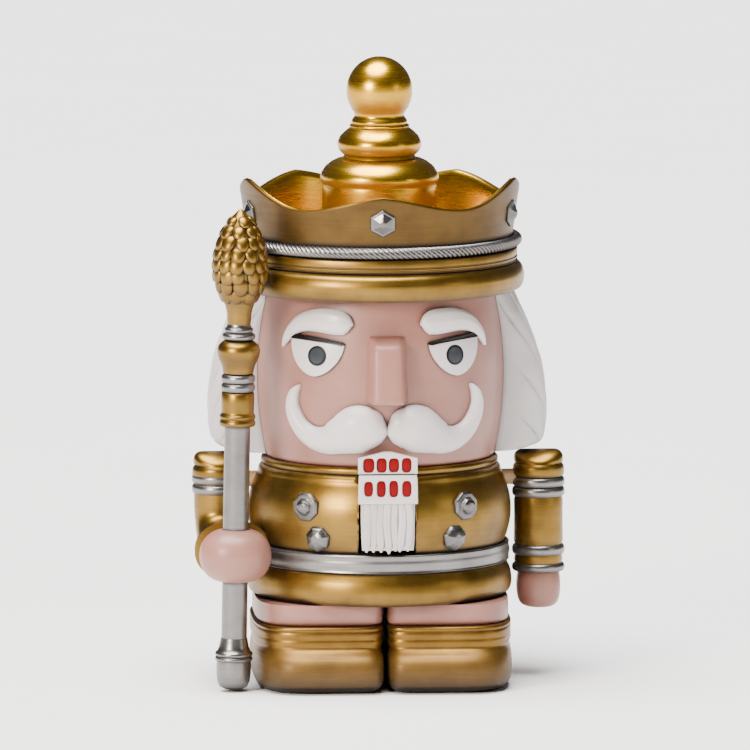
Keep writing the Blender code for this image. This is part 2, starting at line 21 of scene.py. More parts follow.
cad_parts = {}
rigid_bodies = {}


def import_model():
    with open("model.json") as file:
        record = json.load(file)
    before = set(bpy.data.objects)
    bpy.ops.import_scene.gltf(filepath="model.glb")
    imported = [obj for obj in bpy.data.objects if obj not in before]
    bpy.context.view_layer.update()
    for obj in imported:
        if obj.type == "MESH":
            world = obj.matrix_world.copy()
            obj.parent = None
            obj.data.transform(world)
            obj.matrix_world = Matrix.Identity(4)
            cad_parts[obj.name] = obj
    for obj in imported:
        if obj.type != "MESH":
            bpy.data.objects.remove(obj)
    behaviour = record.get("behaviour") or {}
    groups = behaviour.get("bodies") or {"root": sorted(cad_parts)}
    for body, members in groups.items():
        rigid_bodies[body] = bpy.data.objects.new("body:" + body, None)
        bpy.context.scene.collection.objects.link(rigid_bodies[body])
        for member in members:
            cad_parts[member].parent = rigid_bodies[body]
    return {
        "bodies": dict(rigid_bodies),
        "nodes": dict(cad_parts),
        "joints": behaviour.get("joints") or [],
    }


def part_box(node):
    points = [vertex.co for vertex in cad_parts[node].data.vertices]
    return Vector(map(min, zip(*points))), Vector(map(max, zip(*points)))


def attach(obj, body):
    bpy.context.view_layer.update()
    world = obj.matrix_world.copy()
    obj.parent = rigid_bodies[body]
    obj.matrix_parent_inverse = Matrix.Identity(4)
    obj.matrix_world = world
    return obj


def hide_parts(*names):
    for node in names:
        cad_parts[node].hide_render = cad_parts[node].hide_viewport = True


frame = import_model()

MM = 0.001  # metres in a millimetre
ACROSS, BACK, UP = Vector((1.0, 0.0, 0.0)), Vector((0.0, 1.0, 0.0)), Vector((0.0, 0.0, 1.0))
LEAST_RADIUS = 0.02  # millimetres, so that a ring on the axis keeps its area
LOG = logging.getLogger("nutcracker")

Rows = Sequence[Sequence[float]]
Ring = list[Vector]
Place = Callable[[float, float, float], Vector]
Inputs = dict[int | str, object]


class Side(Enum):
    """The figure's own right and left, as the sign of X."""

    RIGHT = -1
    LEFT = 1

    def node(self, part: str) -> str:
        """The name of this side's node or piece."""
        return f"{self.name.lower()}_{part}"


class Body(Enum):
    """The frame's moving bodies."""

    FIGURE = "figure"
    JAW = "jaw"
    LEFT_ARM = "left_arm"
    STAFF = "staff"


class Slot(Enum):
    """The record's material slots."""

    GOLD = "gold_lacquer"
    SILVER = "silver_lacquer"
    SKIN = "skin_paint"
    WHITE = "white_paint"
    BEECH = "beech"
    STEEL = "steel"


# ---------------------------------------------------------------- finishes


def linear(code: str) -> tuple[float, ...]:
    """Turns an sRGB hex code into a linear colour.

    Args:
        code: Six hex digits after a hash sign.

    Returns:
        The linear red, green, blue and an alpha of one.
    """
    channels = [int(code[i : i + 2], 16) / 255.0 for i in (1, 3, 5)]
    return (*(c / 12.92 if c <= 0.04045 else ((c + 0.055) / 1.055) ** 2.4 for c in channels), 1.0)


def plug(tree: bpy.types.NodeTree, node: bpy.types.Node, inputs: Inputs) -> None:
    """Links or sets a node's inputs.

    Args:
        tree: The material's node tree.
        node: The node.
        inputs: Input names or indices, each with a socket to link from or a value to set.
    """
    for key, value in inputs.items():
        if isinstance(value, bpy.types.NodeSocket):
            tree.links.new(value, node.inputs[key])
        else:
            node.inputs[key].default_value = value


def add(
    tree: bpy.types.NodeTree, kind: str, inputs: Inputs | None = None, out: int | str = 0, **settings: object
) -> bpy.types.NodeSocket:
    """Adds a node with its settings and links.

    Args:
        tree: The material's node tree.
        kind: The node's Blender type, after "ShaderNode".
        inputs: What to link or set, as plug takes it.
        out: The output to give back.
        settings: The node's own properties.

    Returns:
        The chosen output.
    """
    node = tree.nodes.new(f"ShaderNode{kind}")
    for key, value in settings.items():
        setattr(node, key, value)
    plug(tree, node, inputs or {})
    return node.outputs[out]


# Inputs that are known by number: a Math node's three terms are 0 to 2; a MapRange turns its value, 0, from
# the range 1 to 2 into 3 to 4; a Mix of colours has its factor at 0 and its colours at 6 and 7.
BLEND = {"data_type": "RGBA", "out": 2}
MULTIPLY_ADD = {"operation": "MULTIPLY_ADD"}


def per_metre(size_mm: float) -> float:
    """The scale of a pattern whose features are this many millimetres apart."""
    return 1.0 / (size_mm * MM)


@dataclass(frozen=True)
class Finish:
    """What every finish has: a name, a record slot that nothing here reads, and its two main colours."""

    name: str
    slot: Slot | None
    colour: str
    shade: str

    def material(self) -> bpy.types.Material:
        """Builds the finish's material, once.

        Returns:
            The material.
        """
        made = bpy.data.materials.get(self.name)
        if not made:
            made = bpy.data.materials.new(self.name)
            made.use_nodes = True
            plug(made.node_tree, made.node_tree.nodes["Principled BSDF"], self.surface(made.node_tree))
        return made

    def surface(self, tree: bpy.types.NodeTree) -> Inputs:
        """The Principled shader's inputs."""
        raise NotImplementedError


@dataclass(frozen=True)
class Lacquer(Finish):
    """Metal-flake lacquer brushed over cast resin, with a dark wash and painted shade in the creases.

    The flakes give a satin, streaky metal sheen. The dark wash follows ambient occlusion, so it is partly the
    brown wash in the real creases and partly painted shade where parts meet. Undersides, and boots near the
    floor, are darkened too as painted shade.
    """

    wash_and_shade: str
    roughness: float
    crease_mm: float = 1.6
    streak_mm: float = 0.45  # real brush marks are about 0.15 mm apart, drawn coarser to show
    stroke_mm: float = 14.0
    mottle_mm: float = 7.0
    flake_mm: float = 0.4  # real flakes are about 0.05 mm, drawn coarser to show
    wash_and_shade_strength: float = 1.0
    underside_shade_strength: float = 0.7  # painted shade on surfaces that face down
    floor_shade_mm: float = 0.0  # height above the floor over which painted shade fades

    def surface(self, tree: bpy.types.NodeTree) -> Inputs:
        """A metal with streaks and mottling, dark and dull where the wash and painted shade lie.

        Args:
            tree: The material's node tree.

        Returns:
            The Principled shader's inputs.
        """
        where = add(tree, "TexCoord", out="Object")
        stroke = per_metre(self.stroke_mm)
        brushed = add(tree, "Mapping", {0: where, "Scale": (stroke, stroke, per_metre(self.streak_mm))})
        streaks = add(tree, "TexNoise", {"Vector": brushed, "Scale": 1.0, "Detail": 3.0})
        mottle = add(tree, "TexNoise", {"Vector": where, "Scale": per_metre(self.mottle_mm), "Detail": 4.0})
        flakes = add(tree, "TexNoise", {"Vector": where, "Scale": per_metre(self.flake_mm), "Detail": 2.0})
        thin = add(tree, "MapRange", {0: mottle, 1: 0.38, 2: 0.72, 3: 0.0, 4: 0.55})
        streaked = add(tree, "Math", {0: streaks, 1: 0.45, 2: thin}, use_clamp=True, **MULTIPLY_ADD)
        coat = add(tree, "Mix", {0: streaked, 6: linear(self.colour), 7: linear(self.shade)}, **BLEND)
        wash_and_shade = self.wash_and_shade_at(tree, where, mottle)
        rough = add(tree, "Math", {0: streaks, 1: 0.16, 2: self.roughness - 0.08}, **MULTIPLY_ADD)
        relief = add(tree, "Math", {0: streaks, 1: 0.7, 2: flakes}, **MULTIPLY_ADD)
        return {
            "Base Color": add(tree, "Mix", {0: wash_and_shade, 6: coat, 7: linear(self.wash_and_shade)}, **BLEND),
            "Roughness": add(tree, "Math", {0: wash_and_shade, 1: 0.28, 2: rough}, **MULTIPLY_ADD),
            "Metallic": add(tree, "Math", {0: wash_and_shade, 1: -0.75, 2: 1.0}, **MULTIPLY_ADD),
            "Normal": add(tree, "Bump", {"Strength": 0.22, "Distance": 0.05 * MM, "Height": relief}),
            "Coat Weight": 0.06,
            "Coat Roughness": 0.22,
        }

    def wash_and_shade_at(
        self, tree: bpy.types.NodeTree, where: bpy.types.NodeSocket, mottle: bpy.types.NodeSocket
    ) -> bpy.types.NodeSocket:
        """How much wash and painted shade lie at a point: in creases, on undersides, on boots near the floor.

        Args:
            tree: The material's tree.
            where: The object's coordinates.
            mottle: Noise that breaks the wash's edge.

        Returns:
            A factor from nought to one.
        """
        # Ambient occlusion darkens creases and joints between parts: a real wash, and painted shade too.
        depth = add(tree, "AmbientOcclusion", {"Distance": self.crease_mm * MM}, "AO", samples=8)
        torn = add(tree, "Math", {0: mottle, 1: 0.25, 2: depth}, **MULTIPLY_ADD)
        crease = add(tree, "MapRange", {0: torn, 1: 0.95, 2: 0.5, 3: 0.0, 4: self.wash_and_shade_strength})
        # Painted shade: surfaces that face down are darkened.
        facing = add(tree, "SeparateXYZ", {0: add(tree, "TexCoord", out="Normal")}, 2)
        below = add(tree, "MapRange", {0: facing, 1: 0.25, 2: -0.75, 3: 0.0, 4: self.underside_shade_strength})
        wash_and_shade = add(tree, "Math", {0: crease, 1: below}, operation="ADD", use_clamp=True)
        if not self.floor_shade_mm:
            return wash_and_shade
        # Painted shade: the boots darken towards the floor.
        height = add(tree, "SeparateXYZ", {0: where}, 2)
        low = add(tree, "MapRange", {0: height, 1: 0.0, 2: self.floor_shade_mm * MM, 3: 1.0, 4: 0.0})
        return add(tree, "Math", {0: wash_and_shade, 1: low}, operation="MAXIMUM")


@dataclass(frozen=True)
class Paint(Finish):
    """Acrylic sprayed on cast resin and sealed with satin varnish.

    The coat pools a shade darker here and there, the varnish has a slight orange peel, and a thin wash
    lies in the creases where ambient occlusion finds them, partly real wash and partly painted shade.
    """

    wash_and_shade: str
    roughness: float = 0.38
    crease_mm: float = 1.8
    wash_and_shade_strength: float = 0.8
    cloud_mm: float = 11.0
    peel_mm: float = 0.7
    gloss: float = 0.5  # a half is a full varnish; thin enamel left bare is less

    def surface(self, tree: bpy.types.NodeTree) -> Inputs:
        """A paint with soft clouds, orange peel and a crease wash that is partly painted shade.

        Args:
            tree: The material's node tree.

        Returns:
            The Principled shader's inputs.
        """
        where = add(tree, "TexCoord", out="Object")
        clouds = add(tree, "TexNoise", {"Vector": where, "Scale": per_metre(self.cloud_mm), "Detail": 4.0})
        peel = add(tree, "TexNoise", {"Vector": where, "Scale": per_metre(self.peel_mm), "Detail": 2.0})
        spread = add(tree, "MapRange", {0: clouds, 1: 0.35, 2: 0.7, 3: 0.0, 4: 0.7})
        coat = add(tree, "Mix", {0: spread, 6: linear(self.colour), 7: linear(self.shade)}, **BLEND)
        # Ambient occlusion darkens creases and joints between parts: a real wash, and painted shade too.
        depth = add(tree, "AmbientOcclusion", {"Distance": self.crease_mm * MM}, "AO", samples=8)
        crease = add(tree, "MapRange", {0: depth, 1: 0.8, 2: 0.25, 3: 0.0, 4: self.wash_and_shade_strength})
        return {
            "Base Color": add(tree, "Mix", {0: crease, 6: coat, 7: linear(self.wash_and_shade)}, **BLEND),
            "Roughness": add(tree, "Math", {0: clouds, 1: 0.14, 2: self.roughness - 0.07}, **MULTIPLY_ADD),
            "Normal": add(tree, "Bump", {"Strength": 0.12, "Distance": 0.06 * MM, "Height": peel}),
            "IOR": 1.49,
            "Specular IOR Level": self.gloss,
        }


@dataclass(frozen=True)
class Timber(Finish):
    """Turned beech dowel, left bare: straight grain about 1 mm apart along the dowel, and a dry sheen."""

    grain_mm: float = 0.9
    run_mm: float = 9.0

    def surface(self, tree: bpy.types.NodeTree) -> Inputs:
        """A timber with stretched grain.

        Args:
            tree: The material's node tree.

        Returns:
            The Principled shader's inputs.
        """
        across = per_metre(self.grain_mm)
        drawn = {0: add(tree, "TexCoord", out="Object"), "Scale": (per_metre(self.run_mm), across, across)}
        grain = add(tree, "TexNoise", {"Vector": add(tree, "Mapping", drawn), "Scale": 1.0, "Detail": 4.0})
        return {
            "Base Color": add(tree, "Mix", {0: grain, 6: linear(self.colour), 7: linear(self.shade)}, **BLEND),
            "Normal": add(tree, "Bump", {"Strength": 0.3, "Distance": 0.08 * MM, "Height": grain}),
            "Roughness": 0.62,
        }


@dataclass(frozen=True)
class Paper(Finish):
    """Matt seamless paper: a pale, very slightly uneven sheet that shows a soft contact shadow."""

    fibre_mm: float = 60.0

    def surface(self, tree: bpy.types.NodeTree) -> Inputs:
        """A matt paper.

        Args:
            tree: The material's node tree.

        Returns:
            The Principled shader's inputs.
        """
        where = add(tree, "TexCoord", out="Object")
        fibre = add(tree, "TexNoise", {"Vector": where, "Scale": per_metre(self.fibre_mm), "Detail": 3.0})
        colour = add(tree, "Mix", {0: fibre, 6: linear(self.colour), 7: linear(self.shade)}, **BLEND)
        return {"Base Color": colour, "Roughness": 0.9}


ANTIQUE_GOLD = Lacquer("antique_gold_lacquer", Slot.GOLD, "#9C7A34", "#6C4E1C", "#1E0E03", 0.34, 2.4)
# The boots' gold darkens near the floor as painted shade.
BOOT_GOLD = Lacquer("boot_gold_lacquer", Slot.GOLD, "#967030", "#684818", "#1A0C02", 0.38, 2.4, floor_shade_mm=13.0)
# A darker copy of the gold for the crown's outside, standing for its dark reflection: painted shade.
SHADED_GOLD = Lacquer("shaded_gold_lacquer", Slot.GOLD, "#6B4F20", "#4C3611", "#1A0C02", 0.40, 2.4)
BRIGHT_GOLD = Lacquer(
    "bright_gold_lacquer", Slot.GOLD, "#E3B22C", "#BB8716", "#5C3606", 0.26, wash_and_shade_strength=0.7
)
SATIN_SILVER = Lacquer("satin_silver_lacquer", Slot.SILVER, "#9B9897", "#757272", "#241A12", 0.30, 2.0)
ROD_SILVER = Lacquer("rod_silver_lacquer", Slot.SILVER, "#8F8C8B", "#6E6B68", "#1C140D", 0.3)
CUT_SILVER = Lacquer("dark_silver_lacquer", Slot.SILVER, "#8A8785", "#625F5E", "#15100B", 0.28, 2.6)
PIN_STEEL = Lacquer(
    "bright_drawn_steel", Slot.STEEL, "#C4C6C9", "#A9ABAE", "#2A2A2A", 0.28, wash_and_shade_strength=0.4
)
SKIN_PAINT = Paint("pink_skin_paint", Slot.SKIN, "#9A6C60", "#895C50", "#482012")
FACE_WHITE = Paint("face_white_paint", Slot.WHITE, "#CFC9C8", "#C3BCBB", "#64493F", 0.3, 2.2)
HAIR_WHITE = Paint("hair_white_paint", Slot.WHITE, "#C2BDBC", "#AEA8A7", "#4C403A", 0.42, 2.4, 1.0)
TOOTH_RED = Paint("tooth_red_enamel", None, "#7C0107", "#660105", "#180001", 0.42, 0.9, gloss=0.12)
LINE_BLACK = Paint("line_black_enamel", None, "#0C0908", "#080605", "#030202", 0.3, gloss=0.25)
LINE_BROWN = Paint("line_brown_paint", None, "#7A5A50", "#664940", "#2E1C16")
IRIS_GREY = Paint("iris_grey_enamel", None, "#33373C", "#24272B", "#0C0D0E", 0.2, gloss=0.3)
BEECH = Timber("turned_beech", Slot.BEECH, "#D9B98F", "#A97C50")
PAPER = Paper("seamless_paper", None, "#FBFAF9", "#F7F5F3")


# ---------------------------------------------------------------- shapes


@dataclass
class Clay:
    """Points and faces in millimetres before they become a piece."""

    points: list[Vector]
    faces: list[tuple[int, ...]]

    def join(self, other: Clay) -> None:
        """Adds another lump's points and faces to this one.

        Args:
            other: The lump to add.
        """
        start = len(self.points)
        self.points.extend(other.points)
        self.faces.extend(tuple(i + start for i in face) for face in other.faces)

    def moved(self, matrix: Matrix) -> Clay:
        """A copy of this lump, moved by a matrix in millimetres."""
        return Clay([matrix @ p for p in self.points], list(self.faces))


def turns(count: int) -> list[float]:
    """Even angles round a circle, in radians."""
    return [math.tau * i / count for i in range(count)]


def smooth_steps(rows: Rows, count: int) -> list[list[float]]:
    """Runs a smooth curve through rows of numbers.

    Args:
        rows: The rows to pass through.
        count: How many samples to take.

    Returns:
        The sampled rows, ends included.
    """
    last = len(rows) - 1
    out = []
    for i in range(count):
        t = last * i / (count - 1)
        k = min(int(t), last - 1)
        u = t - k
        near = zip(*(rows[min(max(k + j, 0), last)] for j in (-1, 0, 1, 2)))
        out.append([
            0.5 * (2 * b + (c - a) * u + (2 * a - 5 * b + 4 * c - d) * u**2 + (3 * b - a - 3 * c + d) * u**3)
            for a, b, c, d in near
        ])
    return out


def arc(
    r: float, z: float, across: float, up: float, start: float, end: float, steps: int = 8
) -> list[tuple[float, float]]:
    """Points of an ellipse's arc round (r, z), from start to end degrees, 0 outwards and 90 up."""
    turn = [math.radians(start + (end - start) * i / steps) for i in range(steps + 1)]
    return [(r + across * math.cos(t), z + up * math.sin(t)) for t in turn]


def skinned(rings: Sequence[Ring], loop: bool = False) -> Clay:
    """Joins rings of equal counts into a skin.

    Args:
        rings: Closed rings, in order.
        loop: Whether the last ring joins the first. If not, a fan fills each end.

    Returns:
        The closed skin.
    """
    count, last = len(rings[0]), len(rings) - 1
    clay = Clay([p for ring in rings for p in ring], [])
    steps = [(i, (i + 1) % count) for i in range(count)]
    for at in range(last + loop):
        a, b = at * count, (at + 1) % (last + 1) * count
        clay.faces += [(a + i, a + j, b + j, b + i) for i, j in steps]
    for at in () if loop else (0, last):
        hub, a = len(clay.points), at * count
        clay.points.append(sum(rings[at], Vector()) / count)
        clay.faces += [(a + i, a + j, hub) if at else (hub, a + j, a + i) for i, j in steps]
    return clay


def turned(
    profile: Rows, segments: int = 160, centre: Sequence[float] = (0.0, 0.0), tube: bool = False
) -> Clay:
    """Turns a profile round an upright axis.

    Args:
        profile: (radius, height) points down the outer side.
        segments: Points round the axis.
        centre: The axis's place in the level plane.
        tube: Whether the profile closes on itself, as for a ring.

    Returns:
        The turned skin.
    """
    x, y = centre
    rings = []
    for radius, z in profile:
        r = max(radius, LEAST_RADIUS)
        rings.append([Vector((x + r * math.cos(t), y + r * math.sin(t), z)) for t in turns(segments)])
    return skinned(rings, tube)


def squircle(
    centre: Vector, across: Vector, along: Vector, power: float = 2.0, segments: int = 96, far: float = 0.0
) -> Ring:
    """A superellipse ring: an ellipse at power 2 and squarer above it.

    Args:
        centre: Its centre.
        across: The first half-axis.
        along: The second half-axis.
        power: How square it is.
        segments: Its points.
        far: How square it is on the side away from the first half-axis, if that differs.

    Returns:
        The ring.
    """
    ring = []
    for t in turns(segments):
        c, s = math.cos(t), math.sin(t)
        bend = 2 / (far if far and c < 0 else power)
        u, v = math.copysign(abs(c) ** bend, c), math.copysign(abs(s) ** bend, s)
        ring.append(centre + across * u + along * v)
    return ring


def level(z: float, x: float, y: float, wide: float, deep: float, power: float, *more: float) -> Ring:
    """A level superellipse from (height, centre x, centre y, half width, half depth, power)."""
    return squircle(Vector((x, y, z)), ACROSS * wide, BACK * deep, power, *more)


def column(rows: Rows, segments: int = 96, samples: int = 0, far: float = 0.0) -> Clay:
    """Lofts level superellipses.

    Args:
        rows: What level takes, from bottom to top.
        segments: Points in each ring.
        samples: Rings after smoothing, or nought to keep the rows as they are.
        far: The power on the side away from the half width, if that differs.

    Returns:
        The closed column.
    """
    taken = smooth_steps(rows, samples) if samples else rows
    return skinned([level(*row, segments, far) for row in taken])


def relief(outline: Rows, place: Place, height: Callable[[float, float], float], steps: int = 8,
           sunk: float = -0.4) -> Clay:
    """Raises a patch from a surface.

    Args:
        outline: The patch's edge on the surface, in millimetres.
        place: Turns (along, up, out) into a point.
        height: How far the patch stands out at (along, up).
        steps: Rings between the middle and the edge.
        sunk: How deep its back lies.

    Returns:
        The closed patch.
    """
    mu, mv = (sum(values) / len(outline) for values in zip(*outline))
    rings = []
    for k in range(1, steps + 1):
        share = k / steps
        spots = [(mu + (u - mu) * share, mv + (v - mv) * share) for u, v in outline]
        rings.append([place(u, v, height(u, v)) for u, v in spots])
    return skinned([*rings, [place(u, v, sunk) for u, v in outline]])


def prism(outline: Rows, start: float, end: float, place: Place) -> Clay:
    """Gives a flat outline thickness.

    Args:
        outline: The edge, in millimetres.
        start: The first face's level.
        end: The last face's level.
        place: Turns (along, up, out) into a point.

    Returns:
        The closed prism.
    """
    count = len(outline)
    points = [place(u, v, out) for out in (start, end) for u, v in outline]
    faces = [(i, (i + 1) % count, (i + 1) % count + count, i + count) for i in range(count)]
    return Clay(points, [tuple(range(count))[::-1], tuple(range(count, 2 * count)), *faces])


# ---------------------------------------------------------------- pieces


@dataclass(frozen=True)
class Extent:
    """A CAD node's box in millimetres."""

    low: Vector
    high: Vector

    @classmethod
    def of(cls, node: str) -> Extent:
        """The box of a named CAD node."""
        low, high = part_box(node)
        return cls(low / MM, high / MM)

    @property
    def middle(self) -> Vector:
        """The box's centre."""
        return (self.low + self.high) / 2

    @property
    def half(self) -> Vector:
        """Half of the box's size."""
        return (self.high - self.low) / 2


def shown(name: str, data: bpy.types.ID) -> bpy.types.Object:
    """Puts new data in the scene.

    Args:
        name: The object's name.
        data: Its mesh, camera or light.

    Returns:
        The new object.
    """
    obj = bpy.data.objects.new(name, data)
    bpy.context.scene.collection.objects.link(obj)
    return obj


class Workshop:
    """Turns clay into pieces, and keeps count of them."""

    bevel_steps = 3
    bevelled_sharp = 24.0  # the least angle in degrees that stays crisp once edges are rounded

    def __init__(self) -> None:
        """Starts with an empty bench."""
        self.count = 0

    def shade(self, data: bpy.types.Mesh, sharp: float) -> None:
        """Shades a mesh smooth, but for edges of more than this many degrees."""
        data.shade_smooth()
        data.set_sharp_from_angle(angle=math.radians(sharp))

    def mesh(self, name: str, clay: Clay, sharp: float) -> bpy.types.Object:
        """Makes a smooth-shaded object from clay.

        Args:
            name: The object's name.
            clay: Its shape.
            sharp: The angle in degrees above which an edge stays crisp.

        Returns:
            The new object, in the scene.
        """
        data, bm = bpy.data.meshes.new(name), bmesh.new()
        verts = [bm.verts.new(p * MM) for p in clay.points]
        for face in clay.faces:
            bm.faces.new([verts[i] for i in face])
        bmesh.ops.recalc_face_normals(bm, faces=bm.faces)
        bm.to_mesh(data)
        bm.free()
        self.shade(data, sharp)
        return shown(name, data)

    def settle(self, obj: bpy.types.Object, sharp: float) -> None:
        """Applies an object's modifiers to its mesh.

        Args:
            obj: The object.
            sharp: The angle in degrees above which an edge stays crisp.
        """
        obj.data = bpy.data.meshes.new_from_object(obj.evaluated_get(bpy.context.evaluated_depsgraph_get()))
        obj.modifiers.clear()
        self.shade(obj.data, sharp)

    def carve(self, obj: bpy.types.Object, cutters: Sequence[Clay], sharp: float) -> None:
        """Takes cutters out of an object for good.

        Args:
            obj: The object to cut.
            cutters: The shapes to take away.
            sharp: The angle in degrees above which an edge stays crisp.
        """
        tools = [self.mesh(f"{obj.name}_tool_{i}", clay, sharp) for i, clay in enumerate(cutters)]
        for tool in tools:
            modifier = obj.modifiers.new(tool.name, "BOOLEAN")
            modifier.operation, modifier.solver, modifier.object = "DIFFERENCE", "EXACT", tool
        self.settle(obj, sharp)
        for tool in tools:
            bpy.data.objects.remove(tool)

    def soften(self, obj: bpy.types.Object, width: float, sharp: float) -> None:
        """Rounds an object's crisp edges by a bevel.

        Args:
            obj: The object.
            width: The bevel's width in millimetres.
            sharp: The angle in degrees above which an edge is bevelled.
        """
        modifier = obj.modifiers.new("Bevel", "BEVEL")
        modifier.width, modifier.segments = width * MM, self.bevel_steps
        modifier.limit_method, modifier.angle_limit = "ANGLE", math.radians(sharp)
        modifier.harden_normals = True
        self.settle(obj, max(sharp, self.bevelled_sharp))

    def make(
        self, name: str, clay: Clay, finish: Finish, node: str = "", body: Body = Body.FIGURE,
        cutters: Sequence[Clay] = (), bevel: float = 0.0, sharp: float = 60.0,
    ) -> None:
        """Makes a finished piece that rides on a body.

        Args:
            name: The piece's name.
            clay: Its shape.
            finish: Its surface.
            node: The CAD node that it stands for, if any.
            body: The body it moves with.
            cutters: Shapes to take out of it.
            bevel: The width of its rounded edges in millimetres.
            sharp: The angle in degrees above which an edge stays crisp.
        """
        obj = self.mesh(name, clay, sharp)
        if cutters:
            self.carve(obj, cutters, sharp)
        if bevel:
            self.soften(obj, bevel, sharp)
        self.coat(obj.data, finish)
        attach(obj, body.value)
        if node:
            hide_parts(node)
        self.count += 1
        LOG.info("%s rides on %s", name, body.value)

    def cut(
        self, node: str, seat: Vector, way: Vector, rings: Rows, sides: int, turn: float, bevel: float,
        sharp: float,
    ) -> None:
        """Makes a silver stud or gem, cut in facets and set on a surface.

        Args:
            node: The CAD node that it stands for.
            seat: Where it sits.
            way: The way that it faces.
            rings: (radius, height above the seat) of each row of corners.
            sides: Facets round it.
            turn: Degrees that it is turned about its own axis.
            bevel: The width of its rounded edges in millimetres.
            sharp: The angle in degrees above which an edge is rounded.
        """
        lay = way.to_track_quat("Z", "Y").to_matrix().to_4x4()
        spin = Matrix.Rotation(math.radians(turn), 4, "Z")
        clay = turned(rings, sides).moved(Matrix.Translation(seat) @ lay @ spin)
        self.make(f"{node}_cut", clay, CUT_SILVER, node, bevel=bevel, sharp=sharp)

    def coat(self, data: bpy.types.Mesh, finish: Finish) -> None:
        """Gives a mesh its finish, and no other."""
        data.materials.clear()
        data.materials.append(finish.material())

    def dress(self, node: str, finish: Finish) -> None:
        """Gives a CAD node that stays in view a better material."""
        self.coat(frame["nodes"][node].data, finish)
        LOG.info("%s keeps its solid", node)


WORKSHOP = Workshop()


# ---------------------------------------------------------------- the figure


def outward(degrees: float) -> Vector:
    """The level direction at an angle from the front, towards +X."""
    t = math.radians(degrees)
    return Vector((math.sin(t), -math.cos(t), 0.0))


@dataclass(frozen=True)
class Drum:
    """A turned surface round the figure's axis that other pieces sit on, bowed through three points."""

    top: tuple[float, float]
    middle: tuple[float, float]
    bottom: tuple[float, float]

    def radius(self, z: float) -> float:
        """The radius at a height.

        Args:
            z: The height.

        Returns:
            The radius of the parabola through the three points.
        """
        (r0, z0), (r1, z1), (r2, z2) = self.top, self.middle, self.bottom
        a = (z - z1) * (z - z2) / ((z0 - z1) * (z0 - z2))
        b = (z - z0) * (z - z2) / ((z1 - z0) * (z1 - z2))
        c = (z - z0) * (z - z1) / ((z2 - z0) * (z2 - z1))
        return a * r0 + b * r1 + c * r2

    def point(self, degrees: float, z: float, out: float = 0.0) -> Vector:
        """A point at an angle from the front, standing out of the surface."""
        return outward(degrees) * (self.radius(z) + out) + UP * z

    def place(self, degrees: float, z: float) -> Place:
        """Wraps flat millimetres round the drum.

        Args:
            degrees: Where the flat origin lies, from the front towards +X.
            z: The origin's height.

        Returns:
            A function of (along, up, out).
        """
        radius = self.radius(z)
        return lambda u, v, out: self.point(degrees + math.degrees(u / radius), z + v, out)


HEAD = Drum((28.7, 98.0), (31.0, 76.0), (29.0, 58.5))
CHEST = Drum((30.4, 52.6), (32.8, 45.0), (31.2, 35.0))


@dataclass
class Legs:
    """Boots, and the short legs above them."""

    power: float = 3.4
    leg_power: float = 3.5
    inner_power: float = 9.0

    def build(self) -> None:
        """Builds both sides."""
        for side in Side:
            self.boot(side)
            self.leg(side)
            WORKSHOP.dress(side.node("leg_dowel"), BEECH)

    def boot(self, side: Side) -> None:
        """A gold boot: a toe that bulges, a pinch above it, and a cuff with three ridges.

        Args:
            side: Which boot.
        """
        extent = Extent.of(side.node("boot"))
        x, half, top = extent.middle.x, extent.half.x, extent.high.z
        plan = [
            (0.0, -2.6, 2.3, 24.9), (0.25, -2.8, 1.5, 26.0), (0.9, -3.2, 0.9, 27.4), (2.4, -3.6, 0.25, 28.9),
            (4.4, -3.8, 0.0, 29.5), (6.6, -3.8, 0.0, 29.5), (8.6, -3.6, 0.1, 28.9), (10.0, -3.1, 0.35, 27.8),
            (10.9, -2.7, 0.55, 27.0), (11.4, -2.55, 0.5, 26.85), (11.8, -2.4, 0.3, 27.0),
            (12.3, -2.3, 0.16, 27.15), (13.2, -2.3, 0.14, 27.15), (13.5, -2.3, 0.28, 27.0),
            (13.8, -2.3, 0.14, 27.1), (15.2, -2.3, 0.14, 27.1), (15.45, -2.3, 0.28, 26.95),
            (15.7, -2.3, 0.1, 27.1), (top - 0.35, -2.3, 0.1, 27.1), (top - 0.08, -2.3, 0.3, 26.9),
            (top, -2.3, 0.7, 26.5),
        ]
        rows = [(z, x, y, (half - inset) * side.value, deep, self.power) for z, y, inset, deep in plan]
        clay = column(rows, 160, far=self.inner_power)
        WORKSHOP.make(side.node("boot_lacquered"), clay, BOOT_GOLD, side.node("boot"))

    def leg(self, side: Side) -> None:
        """A pink leg that swells a little between boot and skirt.

        Args:
            side: Which leg.
        """
        extent = Extent.of(side.node("leg"))
        low, high = extent.low.z - 0.25, extent.high.z + 0.3
        plan = [(low, 0.5, 24.6), (low + 0.7, 0.05, 25.1), ((low + high) / 2, 0.0, 25.4), (high, 0.1, 25.2)]
        rows = [
            (z, extent.middle.x, -2.0, (extent.half.x - inset) * side.value, deep, self.leg_power)
            for z, inset, deep in plan
        ]
        clay = column(rows, 128, 14, self.inner_power)
        WORKSHOP.make(side.node("leg_painted"), clay, SKIN_PAINT, side.node("leg"))


